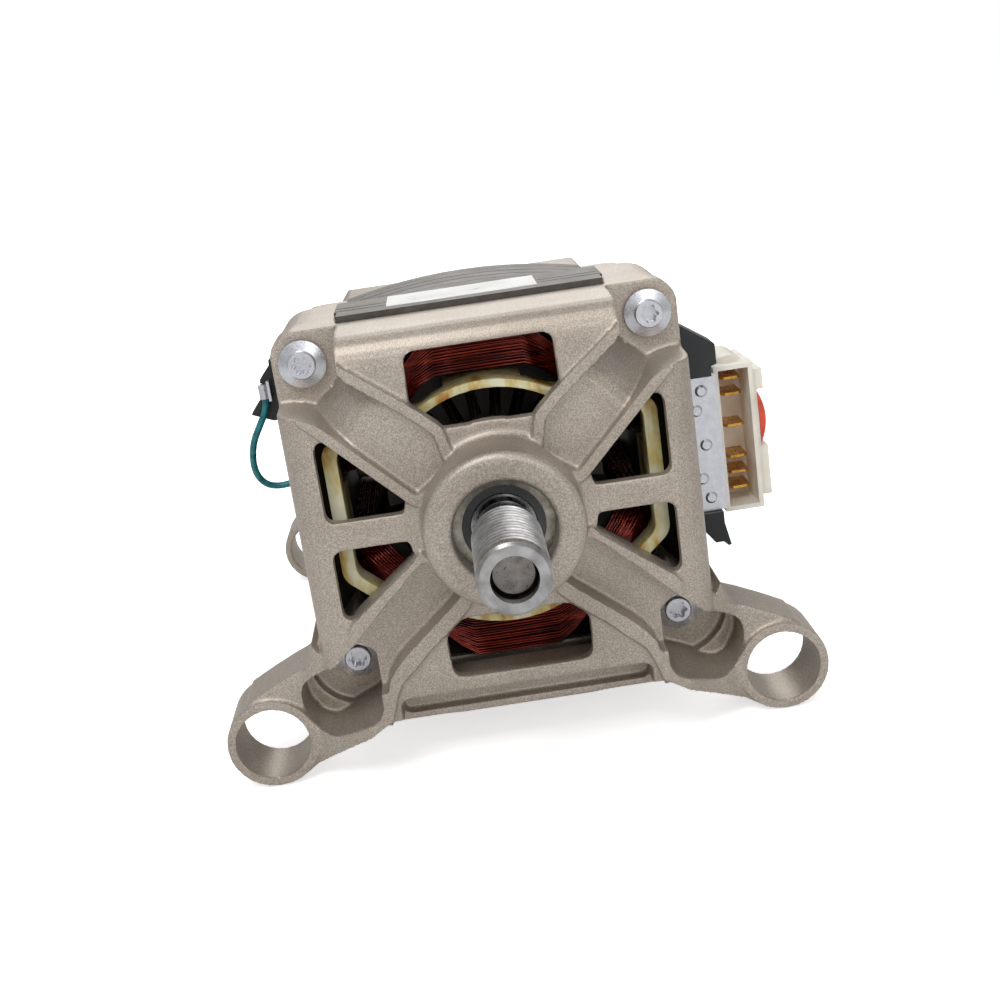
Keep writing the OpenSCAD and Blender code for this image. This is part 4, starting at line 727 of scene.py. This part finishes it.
def field_place(share, inset, lift):
    """A point of a field coil's loop: share of the round, inset from its outside and lift up its side."""
    w, r = FIELD_HALF_W - inset, FIELD_TURN - inset * 0.5
    front, back = FIELD_FRONT + inset, FIELD_BACK - inset
    side, flat, arc = back - front - 2 * r, 2 * (w - r), math.pi / 2 * r
    total = 2 * side + 2 * flat + 4 * arc
    s = (share % 1.0) * total
    half = total / 2
    t = s % half
    to_side = min(t, half - t) - side / 2
    climb = arc + 0.32 * flat
    rise = slid(to_side, 0, climb)
    middle = (front + back) / 2
    quarter = (side / 2, side / 2 + arc, side / 2 + arc + flat, side / 2 + 2 * arc + flat)
    u = s if s < half else total - s
    turned = 1 if s < half else -1
    x, y = w - r, side / 2
    if u < quarter[0]:
        p = (w, u)
    elif u < quarter[1]:
        q = (u - quarter[0]) / r
        p = (x + r * math.cos(q), y + r * math.sin(q))
    elif u < quarter[2]:
        p = (x - (u - quarter[1]), back - middle)
    elif u < quarter[3]:
        q = (u - quarter[2]) / r
        p = (-x - r * math.sin(q), y + r * math.cos(q))
    else:
        p = (-w, y - (u - quarter[3]))
    part = min(1.0, max(0.0, to_side / climb))
    tilt = math.atan((FIELD_HIGH - FIELD_LOW) / climb * 6 * part * (1 - part))
    inward = lift * math.sin(tilt)
    depth = middle + turned * p[1]
    reach = max(abs(p[0]) - 0.35 * inward, 0.0)
    x_now = math.copysign(reach, p[0]) if abs(p[0]) > 1 else p[0]
    return (x_now, depth, FIELD_LOW + (FIELD_HIGH - FIELD_LOW) * rise + lift * math.cos(tilt) ** 0.5)


class MOTOR_OT_field_coils(bpy.types.Operator):
    """The two field coils, layer on layer of enamelled wire"""

    bl_idname = "motor.field_coils"
    bl_label = "Field coils"

    def execute(self, context):
        wire = settings().field_wire
        layers, loops = settings().field_layers, settings().field_loops
        pitch = FIELD_TALL / loops
        steps = 52
        for side, node in ((1, "field_coil_upper"), (-1, "field_coil_lower")):
            runs = []
            for layer in range(layers):
                run = []
                for k in range(loops * steps + 1):
                    lift = pitch * (k / steps)
                    if layer % 2:
                        lift = pitch * loops - lift
                    inset = FIELD_SKIN + layer * FIELD_STEP
                    shake = noise.noise(Vector((k * 0.11, layer * 7.3, side * 3.1))) * FIELD_SHAKE
                    x, depth, z = field_place(k / steps, inset, lift + shake)
                    run.append(at(x, depth, side * z))
                runs.append(run)
            piece = wire_run(node + "_winding", runs, wire, 0)
            settle(piece, "copper_enamel", "motor", node)
        return {"FINISHED"}


class MOTOR_OT_armature_winding(bpy.types.Operator):
    """The armature's winding: bundles that cross from slot to slot at each end"""

    bl_idname = "motor.armature_winding"
    bl_label = "Armature winding"

    def execute(self, context):
        slots, steps = ARMATURE_SLOTS, 14
        runs = []
        for face, reach in ARMATURE_ENDS:
            for k in range(slots):
                first = 2 * math.pi * (k + 0.5) / slots
                last = first + 2 * math.pi * ARMATURE_SPAN / slots
                for strand in range(ARMATURE_STRANDS):
                    run = []
                    for step in range(steps + 1):
                        t = step / steps
                        angle = first + (last - first) * slid(t, 0.12, 0.88)
                        arch = math.sin(math.pi * t)
                        radius = ARMATURE_R - ARMATURE_DIP * arch ** 0.8
                        radius += 0.9 * math.cos(2.4 * strand) * (0.4 + arch)
                        deep = reach * (0.14 + 0.80 * arch ** 0.45) * (0.55 + 0.43 * ((k * 7) % slots) / slots)
                        deep += 0.8 * math.sin(2.4 * strand) * math.copysign(1, reach) * arch
                        run.append(at(radius * math.cos(angle), face + deep, radius * math.sin(angle)))
                    runs.append(run)
        for k in range(slots):
            angle = 2 * math.pi * (k + 0.5) / slots
            for strand in range(4):
                radius = SLOT_R + SLOT_STEP * strand
                runs.append([at(radius * math.cos(angle), d, radius * math.sin(angle)) for d in SLOT_RUN])
        piece = wire_run("armature_turns", runs, ARMATURE_WIRE * MM, 1)
        settle(piece, "copper_enamel", "rotor", "armature_winding")
        # The armature's winding takes the near-black finish of painted shade.
        piece.data.materials[0] = armature_wire_painted_shade()
        return {"FINISHED"}


# Springs and lead

SPRING_WIRE = 0.55 * MM

class MOTOR_OT_brush_springs(bpy.types.Operator):
    """The coil spring behind each carbon brush"""

    bl_idname = "motor.brush_springs"
    bl_label = "Brush springs"

    def execute(self, context):
        for side in ("left", "right"):
            node = "brush_spring_" + side
            low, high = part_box(node)
            middle = (low + high) / 2
            wire = SPRING_WIRE
            radius = (high.z - low.z) / 2 - wire / 2
            turns, steps = settings().spring_turns, 20
            total = int((turns + 2) * steps)
            run = []
            for k in range(total + 1):
                turn = k / steps
                along = slid(turn, 0, 1) * wire
                along += max(0.0, min(turn - 1, turns)) / turns * (high.x - low.x - 3 * wire)
                along += slid(turn, turns + 1, turns + 2) * wire
                a = 2 * math.pi * turn
                across, up = radius * math.cos(a), radius * math.sin(a)
                run.append(Vector((low.x + wire / 2 + along, middle.y + across, middle.z + up)))
            piece = wire_run(node + "_turns", [run], wire, 2)
            settle(piece, "spring_steel", None, node)
            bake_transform(piece)
        return {"FINISHED"}


# The lead's way in the frame's millimetres, from the crimp down its loop to the eyelet
LEAD_ROUTE = [(-63.55, -42, 111.25), (-63.6, -42, 110), (-64, -42, 108.4), (-64.8, -42, 106.5),
              (-66, -41.9, 104.5), (-67.4, -41.6, 102.2), (-68.7, -41.2, 100), (-69.8, -40.6, 97.5), (-70.5, -40, 95),
              (-71, -39.2, 92.3), (-71.1, -38.3, 89.7), (-70.7, -37.5, 87.3), (-69.7, -36.7, 85.2), (-68.2, -36, 83.7),
              (-66.2, -35.4, 82.9), (-64, -35.1, 82.7), (-61.7, -35, 82.9), (-59.3, -35, 83.1)]


def rounded_route(points, steps):
    """A smooth run through the points, with steps places for each stretch."""
    run = []
    for i in range(len(points) - 1):
        p0, p1, p2, p3 = (Vector(points[max(0, min(len(points) - 1, j))]) for j in (i - 1, i, i + 1, i + 2))
        for k in range(steps):
            t = k / steps
            run.append(0.5 * (2 * p1 + (p2 - p0) * t + (2 * p0 - 5 * p1 + 4 * p2 - p3) * t * t
                              + (3 * p1 - p0 - 3 * p2 + p3) * t ** 3))
    run.append(Vector(points[-1]))
    return run


class MOTOR_OT_earth_lead(bpy.types.Operator):
    """The earth lead on the left side"""

    bl_idname = "motor.earth_lead"
    bl_label = "Earth lead"

    def execute(self, context):
        route = [p * MM for p in rounded_route(LEAD_ROUTE, 2)]
        piece = wire_run("earth_lead_cover", [route], settings().lead_diameter, 5)
        settle(piece, "teal_cover", "motor", "earth_lead")
        return {"FINISHED"}


# Finishes of the nodes that stay


class MOTOR_OT_node_finishes(bpy.types.Operator):
    """The finish of each solid that shows as it is"""

    bl_idname = "motor.node_finishes"
    bl_label = "Finishes"

    def execute(self, context):
        for part in frame["record"]["subparts"]:
            wear(frame["nodes"][part["node"]], part["material_slot"])
        frame["nodes"]["pulley"].data.materials[0] = turned_pulley_steel()
        frame["nodes"]["shaft"].data.materials[0] = oiled_shaft_steel()
        return {"FINISHED"}


# Stage: floor, lamps, world and camera

# The photograph's camera: its place in millimetres from the boss, its directions, and its lens in millimetres
CAMERA_PLACE = (-5.408, -344.32, 111.744)
CAMERA_RIGHT = Vector((0.98870, -0.05626, -0.13901))
CAMERA_FORWARD = Vector((0.014385, 0.95826, -0.28552))
CAMERA_LENS = 49.35

# Lamps: name, place, what they point at, size, and power in watts
LAMPS = (
    ("lamp_key", (-0.22, -0.7, 0.95), (0, -0.05, 0.08), 0.5, 6.0),
    ("lamp_fill", (0.25, -0.95, 0.4), (0, -0.05, 0.08), 0.4, 1.5),
    ("lamp_back", (0.1, 0.75, 0.7), (0, 0.05, 0.07), 0.7, 4.0),
)


class MOTOR_OT_stage(bpy.types.Operator):
    """Pale floor, soft lamps and the camera at the photograph's view"""

    bl_idname = "motor.stage"
    bl_label = "Stage"

    def execute(self, context):
        scene = context.scene
        bpy.ops.object.select_all(action="DESELECT")
        bpy.ops.mesh.primitive_plane_add(size=6, location=(0, 0, -0.0004))
        floor = context.active_object
        floor.name = "floor"
        bpy.ops.object.transform_apply(location=True, rotation=True, scale=True)
        paper = Finish("white_paper_floor", linear("#F7F7F7"), roughness=0.9)
        tree = paper.tree
        path = add(tree, "ShaderNodeLightPath")
        away = add(tree, "ShaderNodeVectorMath", {0: paper.place}, operation="LENGTH").outputs["Value"]
        glow = add(
            tree, "ShaderNodeEmission", {"Strength": paper.grey(away, 0.62, 1.0, 0.25, 0.6)}, {"Color": (1, 1, 1, 1)}
        )
        both = add(tree, "ShaderNodeAddShader", {0: paper.shader.outputs["BSDF"], 1: glow.outputs["Emission"]})
        pick = add(
            tree, "ShaderNodeMixShader",
            {0: path.outputs["Is Camera Ray"], 1: paper.shader.outputs["BSDF"], 2: both.outputs[0]},
        )
        out = next(n for n in tree.nodes if n.type == "OUTPUT_MATERIAL")
        tree.links.new(pick.outputs[0], out.inputs["Surface"])
        floor.data.materials.append(paper.material)

        world = bpy.data.worlds.new("pale_room")
        world.use_nodes = True
        world.node_tree.nodes.clear()
        tree = world.node_tree
        path = add(tree, "ShaderNodeLightPath")
        mirrored = add(
            tree, "ShaderNodeMapRange", {"Value": path.outputs["Is Glossy Ray"]}, {"To Min": 0.34, "To Max": 0.5}
        )
        strength = add(
            tree, "ShaderNodeMath", {0: path.outputs["Is Camera Ray"], 1: mirrored.outputs["Result"]},
            operation="MAXIMUM",
        )
        back = add(tree, "ShaderNodeBackground", {"Strength": strength.outputs[0]}, {"Color": (1, 1, 1, 1)})
        end = add(tree, "ShaderNodeOutputWorld")
        tree.links.new(back.outputs[0], end.inputs["Surface"])
        scene.world = world

        for name, place, aim, size, power in LAMPS:
            lamp = bpy.data.lights.new(name, "AREA")
            lamp.shape = "SQUARE"
            lamp.size = size
            lamp.energy = power
            holder = bpy.data.objects.new(name, lamp)
            holder.location = place
            holder.rotation_mode = "QUATERNION"
            holder.rotation_quaternion = (Vector(aim) - Vector(place)).to_track_quat("-Z", "Y")
            scene.collection.objects.link(holder)

        forward = CAMERA_FORWARD.normalized()
        right = (CAMERA_RIGHT - forward * CAMERA_RIGHT.dot(forward)).normalized()
        up = right.cross(forward)
        turn = Matrix((right, up, -forward)).transposed().to_4x4()
        lens = bpy.data.cameras.new("camera")
        lens.sensor_width = 36.0
        lens.lens = CAMERA_LENS
        lens.clip_start = 0.02
        lens.clip_end = 20.0
        camera = bpy.data.objects.new("camera", lens)
        camera.matrix_world = Matrix.Translation(at(*CAMERA_PLACE)) @ turn
        scene.collection.objects.link(camera)
        scene.camera = camera
        scene.view_settings.view_transform = "Standard"
        return {"FINISHED"}


class MOTOR_PT_panel(bpy.types.Panel):
    """The motor's pieces and settings"""

    bl_label = "Washing machine motor"
    bl_idname = "MOTOR_PT_panel"
    bl_space_type = "VIEW_3D"
    bl_region_type = "UI"
    bl_category = "Motor"

    def draw(self, context):
        chosen = context.scene.motor_settings
        for name in chosen.bl_rna.properties.keys():
            if name not in ("rna_type", "name"):
                self.layout.prop(chosen, name)
        for step in STEPS:
            self.layout.operator(step)


STEPS = (
    "motor.stage",
    "motor.earth_lead",
    "motor.node_finishes",
    "motor.castings",
    "motor.coil_frames",
    "motor.field_coils",
    "motor.armature_winding",
    "motor.brush_springs",
)

CLASSES = (
    MotorSettings,
    MOTOR_OT_castings,
    MOTOR_OT_coil_frames,
    MOTOR_OT_field_coils,
    MOTOR_OT_armature_winding,
    MOTOR_OT_brush_springs,
    MOTOR_OT_earth_lead,
    MOTOR_OT_node_finishes,
    MOTOR_OT_stage,
    MOTOR_PT_panel,
)


def register():
    for made in CLASSES:
        bpy.utils.register_class(made)
    bpy.types.Scene.motor_settings = bpy.props.PointerProperty(type=MotorSettings)


def unregister():
    del bpy.types.Scene.motor_settings
    for made in reversed(CLASSES):
        bpy.utils.unregister_class(made)


def main():
    register()
    for step in STEPS:
        group, name = step.split(".")
        getattr(getattr(bpy.ops, group), name)()


if __name__ == "__main__":
    main()
